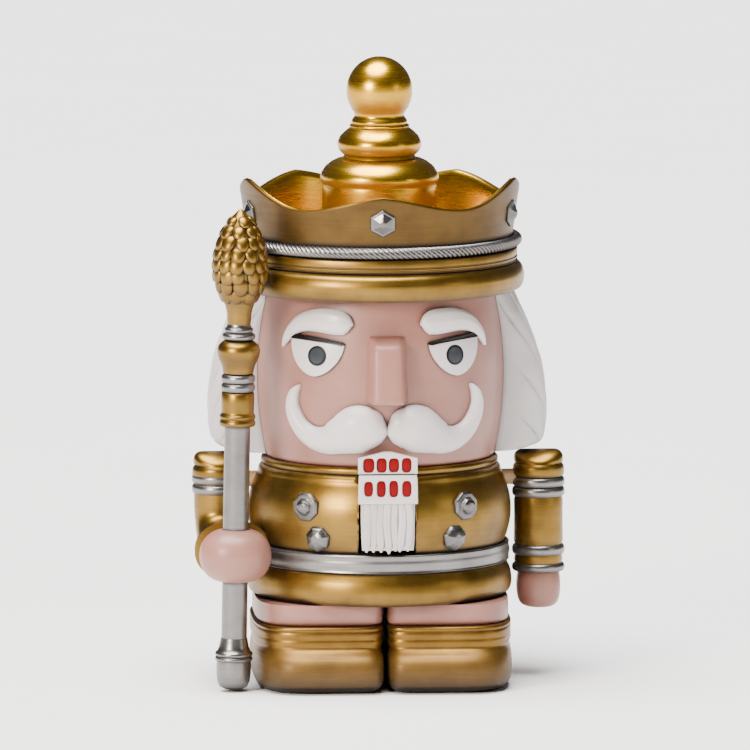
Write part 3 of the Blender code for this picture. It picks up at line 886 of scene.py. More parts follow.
@dataclass
class Jacket:
    """The jacket's block with its jaw slot, the belt, the skirt and the buttons."""

    shoulder: float = 52.4
    waist: float = 35.2
    slot_half: float = 7.1
    slot_floor: float = 35.2
    slot_top: float = 60.0
    slot_reach: float = 45.0
    pin_pocket: float = 5.8
    button_sink: float = -0.25

    def build(self) -> None:
        """Builds the jacket and all its trim."""
        self.block()
        self.collar()
        self.belt()
        self.skirt()
        for side in Side:
            self.buttons(side)
            WORKSHOP.dress(side.node("neck_dowel"), BEECH)
            WORKSHOP.dress(side.node("shoulder_peg"), BEECH)
        WORKSHOP.dress("jaw_pin", PIN_STEEL)

    def block(self) -> None:
        """The chest, turned, with a slot cut through for the jaw."""
        extent = Extent.of("torso")
        top, bottom = extent.high.z, extent.low.z
        profile = [(0.0, top), (26.6, top)] + arc(27.9, 52.9, 2.5, top - 52.9, 80, 0, 7)
        heights = [self.shoulder - i * (self.shoulder - self.waist) / 22 for i in range(23)]
        profile += [(CHEST.radius(z), z) for z in heights]
        profile += [(31.0, 34.9), (31.0, 30.2), (29.5, 30.0), (29.5, bottom), (0.0, bottom)]
        half, floor, roof = self.slot_half, self.slot_floor, self.slot_top
        mouth = [(-half, floor), (half, floor), (half, roof), (-half, roof)]
        slot = prism(mouth, -self.slot_reach, self.slot_reach, lambda u, v, out: Vector((u, out, v)))
        across = Matrix.Translation(UP * Extent.of("jaw_pin").middle.z) @ Matrix.Rotation(math.pi / 2, 4, "Y")
        pocket = turned([(self.pin_pocket, half), (self.pin_pocket, -half)], 48).moved(across)
        WORKSHOP.make(
            "jacket_lacquered", turned(profile), ANTIQUE_GOLD, "torso", cutters=[slot, pocket], bevel=0.45,
            sharp=50.0,
        )

    def collar(self) -> None:
        """A low rolled collar that closes the seam round the head's foot."""
        top = Extent.of("torso").high.z
        profile = [(26.4, top - 0.5), (28.4, top - 0.5)] + arc(28.75, top + 0.55, 0.95, 1.05, -80, 95, 12)
        profile += [(28.1, top + 1.5), (27.2, top + 0.9), (26.4, top + 0.4)]
        WORKSHOP.make("jacket_collar_rolled", turned(profile, tube=True), ANTIQUE_GOLD)

    def belt(self) -> None:
        """A silver belt with a fine raised line along each edge."""
        extent = Extent.of("belt")
        low, high, r = extent.low.z - 0.2, extent.high.z + 0.15, extent.high.x
        middle = (high + low) / 2
        insets = [
            (1.9, high), (0.9, high), (0.35, high - 0.1), (0.12, high - 0.35), (0.2, high - 0.65),
            (0.3, high - 0.85), (0.1, middle + 0.6), (0.0, middle), (0.1, middle - 0.8), (0.28, low + 0.8),
            (0.2, low + 0.6), (0.12, low + 0.35), (0.4, low + 0.08), (1.9, low),
        ]
        clay = turned([(r - inset, z) for inset, z in insets], tube=True)
        WORKSHOP.make("belt_silvered", clay, SATIN_SILVER, "belt")

    def skirt(self) -> None:
        """The jacket's rounded hem, swelling out below the belt."""
        extent = Extent.of("jacket_skirt")
        low, high = extent.low.z, extent.high.z + 0.2
        outer = [
            (31.35, high), (31.75, high - 0.35), (32.2, high - 1.2), (32.75, high - 2.6), (33.05, high - 4.2),
            (33.1, high - 5.6), (32.85, low + 1.5), (32.35, low + 0.65), (31.5, low + 0.12),
        ]
        profile = [*smooth_steps(outer, 40), (30.4, low), (29.7, low), (29.7, high)]
        WORKSHOP.make("skirt_lacquered", turned(profile, tube=True), ANTIQUE_GOLD, "jacket_skirt")

    def buttons(self, side: Side) -> None:
        """An eight-sided flange with a small knob, and below it a domed stud cut in two rows of facets.

        Args:
            side: Which side of the chest.
        """
        flange = [(3.75, 0.0), (3.75, 0.8), (3.3, 1.2), (2.35, 1.15), (2.1, 1.35), (1.85, 2.1), (1.1, 2.6)]
        dome = [(3.3, 0.0), (3.35, 0.6), (2.9, 1.4), (2.0, 2.05), (0.95, 2.4)]
        plan = {"upper": (37.4, 46.6, flange, 8, 22.5), "lower": (31.4, 38.9, dome, 7, 12.0)}
        for row, (degrees, z, rings, sides, turn) in plan.items():
            seat = CHEST.point(side.value * degrees, z, self.button_sink)
            way = outward(side.value * degrees)
            WORKSHOP.cut(side.node(f"{row}_button"), seat, way, rings, sides, turn, 0.07, 12.0)


@dataclass
class Jaw:
    """The lever, the lower teeth and the beard, which swing together."""

    half_width: float = 6.7
    pin_boss: float = 5.0
    locks: int = 7
    lock_steps: int = 14
    seed: int = 7

    def build(self) -> None:
        """Builds the jaw's pieces."""
        self.lever()
        Teeth().lower()
        self.beard()

    def lever(self) -> None:
        """The lever through the chest, with a turned-down tail that ends in a rounded grip."""
        extent = Extent.of("jaw_lever")
        nose, back, low = -extent.low.y, -extent.high.y, extent.low.z
        outline = [
            (nose, 43.0), (nose, 50.9), (28.0, 50.9), (0.0, 46.0), (-26.0, 48.0), (-34.5, 48.0), (-36.6, 47.6),
            (back + 0.5, 46.6), (back, 44.6), (back + 0.15, 36.0), (back + 0.3, 27.0), (back + 0.2, 22.0),
            (back, 18.6), (back + 0.35, 17.1), (back + 1.2, low + 0.25), (-36.2, low), (-35.2, low + 0.4),
            (-34.6, 17.4), (-34.35, 19.0), (-34.45, 22.0), (-34.3, 28.0), (-34.3, 36.5), (-28.0, 36.5),
            *arc(0.0, Extent.of("jaw_pin").middle.z, self.pin_boss, self.pin_boss, -174, -6, 12),
        ]
        clay = prism(outline, -self.half_width, self.half_width, lambda u, v, out: Vector((out, -u, v)))
        WORKSHOP.make(
            "jaw_lever_lacquered", clay, ANTIQUE_GOLD, "jaw_lever", Body.JAW, bevel=0.55, sharp=30.0
        )

    def beard(self) -> None:
        """Tapering locks over a thin backing, each with its own length and sway."""
        extent = Extent.of("beard")
        top, bottom, front = extent.high.z + 0.25, extent.low.z, -extent.low.y
        plan = [(bottom + 0.5, 6.4, 0.6), (bottom + 3.0, 6.6, 0.75), (bottom + 7.0, 6.7, 0.8), (top, 6.75, 0.8)]
        clay = column([(z, 0.0, -front + 1.4, w, d, 4.0) for z, w, d in plan], 48, 6)
        rng = random.Random(self.seed)
        for i in range(self.locks):
            share = (i + 0.5) / self.locks * 2.0 - 1.0
            x_top, x_tip = share * 5.9, share * 6.0 + rng.uniform(-0.35, 0.35)
            tip = bottom - 0.45 + rng.uniform(0.0, 0.9) + (0.3 if i in (0, self.locks - 1) else 0.0)
            sway = rng.uniform(-0.35, 0.35)
            rows = []
            for k in range(self.lock_steps + 1):
                t = k / self.lock_steps
                x = x_top + (x_tip - x_top) * t + sway * math.sin(math.pi * t * 1.4)
                wide = 1.24 * (1.0 - 0.1 * t) * min(1.0, ((1.0 - t) / 0.22 + 0.06) ** 0.6)
                deep = 0.72 * min(1.0, ((1.0 - t) / 0.25 + 0.08) ** 0.6) + 0.1 * math.sin(math.pi * t)
                out = front - 0.85 - 0.15 * abs(share) + 0.1 * math.sin(i * 2.4 + t * 3.0)
                rows.append((top + (tip - top) * t, x, -out, wide, deep, 2.1))
            clay.join(column(rows[::-1], 20))
            strand = [(z, x + 0.45, y - 0.42, w * 0.42, d * 0.5, 2.0) for z, x, y, w, d, _ in rows[1:-2]]
            clay.join(column(strand[::-1], 12))
        WORKSHOP.make("beard_painted", clay, HAIR_WHITE, "beard", Body.JAW)


@dataclass
class Teeth:
    """The two plates of teeth, each with a row of sunk red teeth."""

    half: float = 7.35
    sink: float = 0.55
    gap: float = 0.12

    def upper(self) -> None:
        """The fixed plate, with a low peak under the moustache."""
        half, low = self.half, Extent.of("upper_teeth").low.z
        peak = [(half, 59.6), (4.6, 60.3), (1.0, 61.2), (-1.0, 61.2), (-4.6, 60.3), (-half, 59.6)]
        sizes = [(-4.75, 2.75, 3.5), (-1.55, 2.45, 3.5), (1.5, 2.45, 3.4), (4.65, 2.3, 3.5)]
        self.plate("upper_teeth", [(-half, low), (half, low), *peak], 2.2, low + 2.15, sizes, Body.FIGURE)

    def lower(self) -> None:
        """The plate that drops with the jaw, a little narrower at its top."""
        half, extent = self.half, Extent.of("lower_teeth")
        low, high = extent.low.z, extent.high.z
        right = [(half - 0.2, high), (half, high - 3.0), (half + 0.05, low)]
        outline = right + [(-x, z) for x, z in reversed(right)]
        sizes = [(-4.85, 2.1, 3.6), (-1.7, 2.1, 3.9), (1.4, 2.1, 4.0), (4.65, 2.2, 3.9)]
        self.plate("lower_teeth", outline, 2.3, (low + high) / 2 + 0.2, sizes, Body.JAW)

    def plate(self, node: str, outline: Rows, thick: float, middle: float, sizes: Rows, body: Body) -> None:
        """A white plate with red teeth sunk into pockets.

        Args:
            node: The CAD node it stands for.
            outline: The plate's edge in (x, z).
            thick: Its thickness.
            middle: The height of the row.
            sizes: (x, width, height) of each tooth.
            body: The body it moves with.
        """
        front = Extent.of(node).low.y
        face: Place = lambda u, v, out: Vector((u, front - out, v))
        pockets, reds = [], Clay([], [])
        for x, width, tall in sizes:
            edge = self.tooth_outline(x, middle, width / 2 + self.gap, tall / 2 + self.gap)
            pockets.append(prism(edge, -self.sink, 1.0, face))
            crown = lambda u, v, x=x, tall=tall: -0.3 - 0.12 * (((v - middle) / tall * 2) ** 2 + (u - x) ** 2)
            tooth = self.tooth_outline(x, middle, width / 2, tall / 2)
            reds.join(relief(tooth, face, crown, 5, -self.sink - 0.1))
        plate = prism(outline, -thick, 0.0, face)
        WORKSHOP.make(f"{node}_plate", plate, FACE_WHITE, node, body, pockets, bevel=0.16, sharp=30.0)
        WORKSHOP.make(f"{node}_red", reds, TOOTH_RED, body=body, sharp=40.0)

    def tooth_outline(self, x: float, z: float, half: float, tall: float) -> list[tuple[float, float]]:
        """A rounded, upright tooth's edge."""
        ring = squircle(Vector((x, z, 0)), ACROSS * half, BACK * tall, 3.2, 28)
        return [(p.x, p.y) for p in ring]


@dataclass
class Face:
    """The head and everything painted or raised on it."""

    eye_angle: float = 34.3
    eye_height: float = 84.6
    eye_half: float = 7.7
    eye_bottom: float = -5.3
    eye_bend: float = 1.16
    iris: float = 2.5
    iris_across: float = -0.9  # towards the nose
    iris_up: float = -0.1
    lid_bow: float = 0.35
    nose_front: float = 3.6
    nose_foot: float = 5.2
    nose_columns: int = 24

    def build(self) -> None:
        """Builds the head, then both sides of the face."""
        self.head()
        self.nose()
        Teeth().upper()
        for side in Side:
            self.eye(side)
            self.brow(side)
            self.moustache(side)

    def head(self) -> None:
        """The turned head, rounded in under the chin."""
        extent, chin = Extent.of("head"), HEAD.bottom[1]
        top, bottom = extent.high.z, extent.low.z
        heights = [top - i * (top - chin) / 36 for i in range(37)]
        profile = [(0.0, top)] + [(HEAD.radius(z), z) for z in heights]
        profile += arc(25.0, chin, 4.0, chin - bottom, 0, -88, 10)[1:] + [(0.0, bottom)]
        WORKSHOP.make("head_painted", turned(profile), SKIN_PAINT, "head", sharp=50.0)

    def nose(self) -> None:
        """A wedge with a flat front that melts into the face at its sides and its bridge."""
        extent = Extent.of("nose")
        low, high, tip = extent.low.z, extent.high.z + 0.6, -extent.low.y
        rows = [(0.0, 0.86), (0.12, 0.93), (0.35, 0.98), (0.8, 1.0)] + [(0.8 + i, 1.0) for i in range(1, 13)]
        rows += [(13.6, 0.98), (14.3, 0.9), (15.0, 0.72), (15.6, 0.42), (high - low, 0.06)]
        rings = []
        for rise, fullness in rows:
            z, share = low + rise, rise / (high - low)
            r = HEAD.radius(z)
            front_half, base_half = self.nose_front - 0.4 * share, self.nose_foot - 0.5 * share
            crest = (tip - 3.1 * share - r) * fullness
            ring = []
            for c in (i / self.nose_columns * 2 - 1 for i in range(self.nose_columns + 1)):
                beyond = max(0.0, (abs(c) - 0.5) / 0.5)  # half of the columns lie on the front
                x = front_half * min(1.0, abs(c) / 0.5) + (base_half - front_half) * beyond
                stand = 0.95 * (1.0 - beyond) ** 1.3 if beyond else 1.0 - 0.05 * (x / front_half) ** 4
                out = math.sqrt(r * r - x * x) - 0.05 + crest * stand
                ring.append(Vector((math.copysign(x, c), -out, z)))
            rings.append(ring + [Vector((p.x, 2.5 - r, z)) for p in reversed(ring)])
        WORKSHOP.make("nose_painted", skinned(rings), SKIN_PAINT, "nose")

    def eye_dome(self, u: float, v: float) -> float:
        """How far the eye stands out of the head.

        Args:
            u: Millimetres along the face from the eye's middle.
            v: Millimetres up from it.

        Returns:
            The height in millimetres.
        """
        across = max(0.0, 1.0 - (u / (self.eye_half + 0.4)) ** 2)
        upright = max(0.0, 1.0 - ((v + 0.6) / 6.2) ** 2)
        return 0.22 + 0.95 * math.sqrt(across) * math.sqrt(upright)

    def eye(self, side: Side) -> None:
        """An eye cut off straight by its lid, with a grey iris in a black ring.

        Args:
            side: Which eye.
        """
        place = HEAD.place(side.value * self.eye_angle, self.eye_height)
        half, bend = self.eye_half, self.eye_bend
        lid: Callable[[float], float] = lambda u: 3.45 + 0.088 * u * side.value
        outline = []
        for t in (math.pi * i / 36 for i in range(37)):
            c, s = math.cos(t), math.sin(t)
            u = half * math.copysign(abs(c) ** bend, c)
            outline.append((u, lid(u) - (lid(u) - self.eye_bottom) * abs(s) ** bend))
        upper = [(-half + 2 * half * i / 16) for i in range(1, 16)]
        outline += [(u, lid(u) + self.lid_bow * (1 - (u / half) ** 2)) for u in upper]
        white = relief(outline, place, self.eye_dome, 10)
        WORKSHOP.make(side.node("eye_white"), white, FACE_WHITE, side.node("eye"))
        edge = relief([(u * 1.045, v * 1.06) for u, v in outline], place, lambda u, v: 0.14, 4)
        WORKSHOP.make(side.node("eye_outline"), edge, LINE_BROWN, sharp=40.0)
        ring, iris = ("eye_ring", LINE_BLACK, 0.0, 0.1, 6), ("eye_iris", IRIS_GREY, 0.55, 0.17, 5)
        for name, finish, inset, out, steps in (ring, iris):
            r = self.iris - inset
            middle = self.iris_across * side.value
            rim = [(middle + r * math.cos(t), self.iris_up + r * math.sin(t)) for t in turns(40)]
            disc = relief(rim, place, lambda u, v, out=out: self.eye_dome(u, v) + out, steps, 0.3)
            WORKSHOP.make(side.node(name), disc, finish, sharp=40.0)
        self.lid_line(side, place, lid)

    def lid_line(self, side: Side, place: Place, lid: Callable[[float], float]) -> None:
        """The black upper lid, a flat wedge that is heavier at its outer end.

        Args:
            side: Which eye.
            place: The eye's place on the head.
            lid: The lid's height along the eye.
        """
        reach = self.eye_half + 0.15
        top, low = [], []
        for u in (-reach + 2 * reach * i / 24 for i in range(25)):
            outer = (u * side.value / reach + 1) / 2
            thick = (0.85 + 0.35 * outer) * min(1.0, (1 - abs(u) / reach) / 0.07 + 0.25)
            middle = lid(u) + self.lid_bow * (1 - (u / reach) ** 2) + 0.15
            top.append((u, middle + thick / 2))
            low.append((u, middle - thick / 2))
        line = relief(low + top[::-1], place, lambda u, v: 0.85 + 0.25 * (1 - (u / reach) ** 2), 3)
        WORKSHOP.make(side.node("eye_lid"), line, LINE_BLACK, sharp=50.0)

    def roll(self, part: str, rows: Rows, side: Side, proud: float, combed: int, samples: int = 96) -> None:
        """A tapered white roll laid on the head.

        Args:
            part: The CAD node it stands for, without its side.
            rows: (degrees, height, half width) along it.
            side: Which side.
            proud: How far its widest part stands out of its own centre line.
            combed: Shallow grooves round it.
            samples: Rings along it.
        """
        taken = smooth_steps(rows, samples)
        widest = max(w for _, _, w in taken)
        centres = [HEAD.point(side.value * d, z, 0.25 + 0.5 * w / widest) for d, z, w in taken]
        rings = []
        for i, (degrees, _, width) in enumerate(taken):
            ahead = centres[min(i + 1, samples - 1)] - centres[max(i - 1, 0)]
            way = outward(side.value * degrees)
            across = ahead.cross(way).normalized()
            out = across.cross(ahead).normalized()
            out *= math.copysign(1.0, out.dot(way))
            depth = proud * (0.3 + 0.7 * max(width, 0.1) / widest)
            ring = []
            for t in turns(48):
                comb = 1.0 - 0.035 * (0.5 + 0.5 * math.cos(combed * t + 1.3 * math.sin(i / samples * 3)))
                ring.append(centres[i] + (across * math.cos(t) * width + out * math.sin(t) * depth) * comb)
            rings.append(ring)
        WORKSHOP.make(side.node(f"{part}_painted"), skinned(rings), FACE_WHITE, side.node(part))

    def brow(self, side: Side) -> None:
        """A thick eyebrow, blunt by the nose and drawn to a point at the temple.

        Args:
            side: Which eyebrow.
        """
        blunt = [math.radians(15.0 * k) for k in range(6)]
        rows = [(16.6 + 5.7 * (1 - math.cos(t)), 92.5 + 0.2 * t, max(0.2, 3.1 * math.sin(t))) for t in blunt]
        rows += [(24.5, 93.0, 3.25), (31.5, 93.2, 3.1), (38.0, 92.9, 2.65), (44.0, 91.9, 2.15)]
        rows += [(49.0, 90.0, 1.6), (52.0, 87.9, 1.0), (53.6, 86.0, 0.25)]
        self.roll("eyebrow", rows, side, 2.0, 9)

    def moustache(self, side: Side) -> None:
        """Half of a curled moustache: a full lobe by the nose that thins to an upturned tip.

        Args:
            side: Which half.
        """
        rows = [(0.6, 65.9, 0.4), (0.85, 65.9, 1.3), (1.5, 65.95, 2.4), (2.8, 66.05, 3.5), (4.7, 66.25, 4.5)]
        rows += [(7.2, 66.5, 5.3), (10.5, 66.6, 5.95), (14.0, 66.4, 6.1), (18.0, 65.6, 5.6), (22.5, 64.6, 4.7)]
        rows += [(28.5, 63.5, 3.65), (35.0, 63.8, 3.0), (41.2, 65.6, 2.6), (45.3, 68.6, 2.3), (46.9, 71.8, 1.9)]
        self.roll("moustache", [*rows, (45.6, 74.8, 1.35), (42.4, 76.8, 0.3)], side, 3.7, 7)


@dataclass
class Hair:
    """A bell of hair from temple to temple, combed back in locks."""

    centre_y: float = 10.0
    front_y: float = -5.0
    power: float = 2.6
    lock_mm: float = 7.4
    strand_mm: float = 1.5
    front_to_back: float = 66.0
    edge_round: float = 7.0
    least_thick: float = 0.15
    samples: int = 300

    def build(self) -> None:
        """Builds the hair as one shell, thick at the back and rounded at its front edges."""
        extent = Extent.of("hair")
        low, high = extent.low.z, extent.high.z + 0.3
        rows = [
            (low - 0.2, 36.5, 23.2), (low + 0.5, 39.3, 25.6), (59.6, 41.6, 27.2), (64.0, 42.5, 28.1),
            (71.0, 42.5, 28.2), (80.0, 41.1, 27.3), (89.5, 37.7, 25.5), (high, 33.8, 23.9),
        ]
        rings = [self.ring(z, half, deep, high) for z, half, deep in smooth_steps(rows, 72)]
        WORKSHOP.make("hair_painted", skinned(rings), HAIR_WHITE, "hair")

    def ring(self, z: float, half: float, deep: float, high: float) -> Ring:
        """One level loop of the shell: out round the back, and home along the head.

        Args:
            z: The loop's height.
            half: Half of its width.
            deep: Half of its depth.
            high: The hair's top.

        Returns:
            The loop's points.
        """
        rise = (self.centre_y - self.front_y) / deep
        reach = math.radians(90.0) + math.asin(min(1.0, rise ** (self.power / 2)))
        head_r = HEAD.radius(max(z, HEAD.bottom[1])) + 0.05
        outer, inner = [], []
        for i in range(self.samples + 1):
            share = i / self.samples * 2.0 - 1.0
            t = math.radians(90.0) + share * reach
            c, s = math.cos(t), math.sin(t)
            x = half * math.copysign(abs(c) ** (2 / self.power), c)
            y = self.centre_y + deep * math.copysign(abs(s) ** (2 / self.power), s)
            flat = Vector((x, y, 0.0))
            along = (1.0 - abs(share)) * self.front_to_back
            rounding = min(1.0, along / self.edge_round)
            thick = (flat.length - head_r) * math.sqrt(max(0.0, 1.0 - (1.0 - rounding) ** 2))
            thick = max(self.least_thick, thick - self.groove(along, z, high) * min(1.0, along / 4.0 + 0.3))
            outer.append(flat.normalized() * (head_r + thick) + UP * z)
            inner.append(flat.normalized() * head_r + UP * z)
        return outer + inner[::-1]

    def groove(self, along: float, z: float, high: float) -> float:
        """How deep the combing cuts: broad locks that slant back as they fall, and fine strands.

        Args:
            along: Millimetres from the hair's front edge.
            z: The height.
            high: The hair's top.

        Returns:
            The depth in millimetres.
        """
        fall = high - z
        slant = 0.32 * fall + 0.006 * fall * fall
        lock = ((along - slant) / self.lock_mm) % 1.0
        strand = math.sin(math.tau * (along - slant * 1.12 + 0.6 * math.sin(z / 6.0)) / self.strand_mm)
        return 1.7 * abs(2.0 * lock - 1.0) ** 6 + 0.3 * (0.5 + 0.5 * strand) + 0.1


@dataclass
class Hat:
    """The rolled band, the pointed crown, its cord and gems, and the stacked finial."""

    dip: float = 121.0
    tips: tuple[float, ...] = (124.8, 127.2, 125.0, 125.0, 127.2)
    turn: float = -2.0
    foot: float = 32.9
    mouth: float = 35.0
    mouth_height: float = 125.0
    base: float = 109.0
    gem_height: float = 118.2
    strands: int = 6
    crossings: int = 168  # the cord's lay is about 1.3 mm from strand to strand
    pleats: int = 24
    wall_segments: int = 300

    def build(self) -> None:
        """Builds the hat from the band up."""
        self.band()
        self.crown()
        self.cord()
        self.dome()
        self.finial()
        for i in range(len(self.tips)):
            self.gem(i)

    def band(self) -> None:
        """A fat roll below a step that carries two fine lines."""
        extent = Extent.of("hat_band")
        low, top, r = extent.low.z, extent.high.z, extent.high.x
        roll = [
            (r - 3.6, 105.5), (r - 1.9, 105.25), (r - 0.75, 104.4), (r - 0.12, 102.9), (r, 101.6),
            (r - 0.15, 100.4), (r - 0.7, 99.1), (r - 1.8, low + 0.18), (r - 3.6, low),
        ]
        profile = [
            (0.0, top), (33.9, top), (34.3, top - 0.1), (34.5, top - 0.4), (34.45, 107.1), (34.2, 106.95),
            (34.2, 106.75), (34.5, 106.6), (34.5, 106.35), (34.2, 106.2), (34.2, 105.95), (34.45, 105.8),
            (34.3, 105.5), (33.3, 105.35), *smooth_steps(roll, 36), (0.0, low),
        ]
        WORKSHOP.make("hat_band_lacquered", turned(profile, 192), ANTIQUE_GOLD, "hat_band", sharp=55.0)

    def radius(self, z: float) -> float:
        """The crown wall's outer radius at a height."""
        return self.foot + (self.mouth - self.foot) * (z - self.base) / (self.mouth_height - self.base)

    def rim(self, degrees: float) -> float:
        """The rim's height at an angle: ogee points with shallow dips between them.

        Args:
            degrees: The angle from the front, towards +X.

        Returns:
            The height in millimetres.
        """
        turn = (degrees - self.turn) / 360.0 * len(self.tips)
        away = abs(turn - round(turn)) * 2.0
        swell = 0.72 * (0.5 + 0.5 * math.cos(math.pi * away)) + 0.28 * (1.0 - away) ** 2.4
        return self.dip + (self.tips[round(turn) % len(self.tips)] - self.dip) * swell

    def crown(self) -> None:
        """The crown's wall, satin and darkened outside as painted shade; a bright liner stands just inside it.
        """
        outside = [
            (0.0, 0.0), (0.03, 0.0), (0.05, -0.12), (0.2, 0.0), (0.4, 0.0), (0.6, 0.0), (0.78, 0.0),
            (0.88, 0.04), (0.94, 0.1), (0.98, 0.06), (1.0, -0.22), (1.0, -0.6), (0.985, -0.85), (0.9, -0.95),
            (0.5, -0.95), (0.0, -0.95),
        ]
        inside = [
            (0.0, -1.0), (0.5, -1.0), (0.9, -1.0), (0.975, -0.95), (0.99, -1.2), (0.97, -1.6), (0.9, -1.8),
            (0.7, -1.8), (0.4, -1.85), (0.2, -1.9), (0.0, -1.9),
        ]
        # The outside takes the darker gold as painted shade.
        WORKSHOP.make("crown_outside", self.wall(outside), SHADED_GOLD, "crown_wall", sharp=55.0)
        WORKSHOP.make("crown_inside", self.wall(inside), BRIGHT_GOLD, sharp=55.0)

    def wall(self, section: Rows) -> Clay:
        """Runs a section round the crown, stretched to the rim's height.

        Args:
            section: (share of the height, offset from the outer face) points of a closed loop.

        Returns:
            The closed wall.
        """
        base, rings = Extent.of("crown_wall").low.z, []
        for share, offset in section:
            ring = []
            for degrees in (360.0 * i / self.wall_segments for i in range(self.wall_segments)):
                z = base + (self.rim(degrees) - base) * share
                ring.append(outward(degrees) * (self.radius(z) + offset) + UP * z)
            rings.append(ring)
        return skinned(rings, loop=True)

    def cord(self) -> None:
        """A silver cord of six strands, laid round the crown's foot."""
        extent = Extent.of("crown_cord")
        thick = extent.half.z
        middle = extent.high.x - thick - 0.7
        rings = []
        for t in turns(30):
            ring = []
            for a in turns(9 * self.crossings):
                lobe = abs(math.sin(self.strands / 2 * (t + self.crossings / self.strands * a)))
                r = thick * (0.5 + 0.5 * lobe**0.55)
                out, z = middle + r * math.cos(t), extent.middle.z + r * math.sin(t)
                ring.append(Vector((out * math.sin(a), -out * math.cos(a), z)))
            rings.append(ring)
        cord = skinned(rings, loop=True)
        WORKSHOP.make("crown_cord_twisted", cord, SATIN_SILVER, "crown_cord", sharp=80.0)

    def dome(self) -> None:
        """The hat's top inside the crown, with soft pleats that run out from the finial."""
        rows = [(14.4, 116.5), (18.0, 116.1), (23.0, 115.1), (27.5, 113.7), (30.4, 112.2), (30.6, 110.8)]
        rings = []
        for r, z in smooth_steps([*rows, (30.6, Extent.of("hat_top").low.z)], 30):
            depth = 0.45 * math.sin(math.pi * min(1.0, max(0.0, (r - 14.4) / 16.2)))
            ring = []
            for a in turns(8 * self.pleats):
                fold = depth * abs(math.sin(self.pleats / 2 * a)) ** 0.7
                ring.append(Vector((r * math.cos(a), r * math.sin(a), z + fold - 0.4)))
            rings.append(ring)
        WORKSHOP.make("hat_dome", skinned(rings), BRIGHT_GOLD, "hat_top", sharp=55.0)

    def finial(self) -> None:
        """Three turned tiers: a drum with a rolled top, a bead, and a ball on a flared neck."""
        foot, top = Extent.of("finial_base").low.z - 0.4, Extent.of("finial_ball").high.z
        middle = 147.9
        globe = [
            (8.25 * math.sin(math.radians(a)), middle + (top - middle) * math.cos(math.radians(a)))
            for a in range(8, 132, 6)
        ]
        tiers = {
            "finial_base": [
                (2.0, 130.9), (9.8, 130.9), (10.6, 130.75), (12.0, 130.1), (13.5, 128.9), (14.5, 127.4),
                (14.85, 126.2), (14.6, 125.2), (14.15, 124.7), (14.25, 124.3), (14.3, 123.0), (14.3, 120.0),
                (14.4, 117.6), (14.8, foot),
            ],
            "finial_bead": [
                (1.0, 139.4), (7.2, 139.4), (7.45, 139.25), (7.5, 138.9), (7.25, 138.7), (7.6, 138.45),
                (8.6, 137.7), (9.8, 136.5), (10.45, 135.1), (10.5, 134.2), (10.1, 133.0), (9.3, 132.1),
                (8.7, 131.7), (9.0, 131.4), (9.1, 131.1), (8.8, 130.8), (1.0, 130.8),
            ],
            "finial_ball": [
                (0.0, top), *globe, (6.15, 141.9), (6.4, 141.2), (6.9, 140.5), (7.05, 140.0), (6.8, 139.5),
                (0.0, 139.4),
            ],
        }
        for node, profile in tiers.items():
            WORKSHOP.make(f"{node}_turned", turned(profile, 96), BRIGHT_GOLD, node)

    def gem(self, index: int) -> None:
        """A six-sided cut gem on one of the crown's points.

        Args:
            index: Which point, from the front towards +X.
        """
        tilt = math.atan((self.mouth - self.foot) / (self.mouth_height - self.base))
        flat, z = outward(self.turn + 360.0 * index / len(self.tips)), self.gem_height
        way = flat * math.cos(tilt) - UP * math.sin(tilt)
        seat = flat * self.radius(z) + UP * z - way * 0.15
        rings = [(3.45, 0.0), (3.45, 0.45), (3.1, 0.7), (2.75, 0.65), (0.9, 1.75), (0.5, 1.85)]
        WORKSHOP.cut(f"crown_gem_{index + 1}", seat, way, rings, 6, 30.0, 0.06, 10.0)


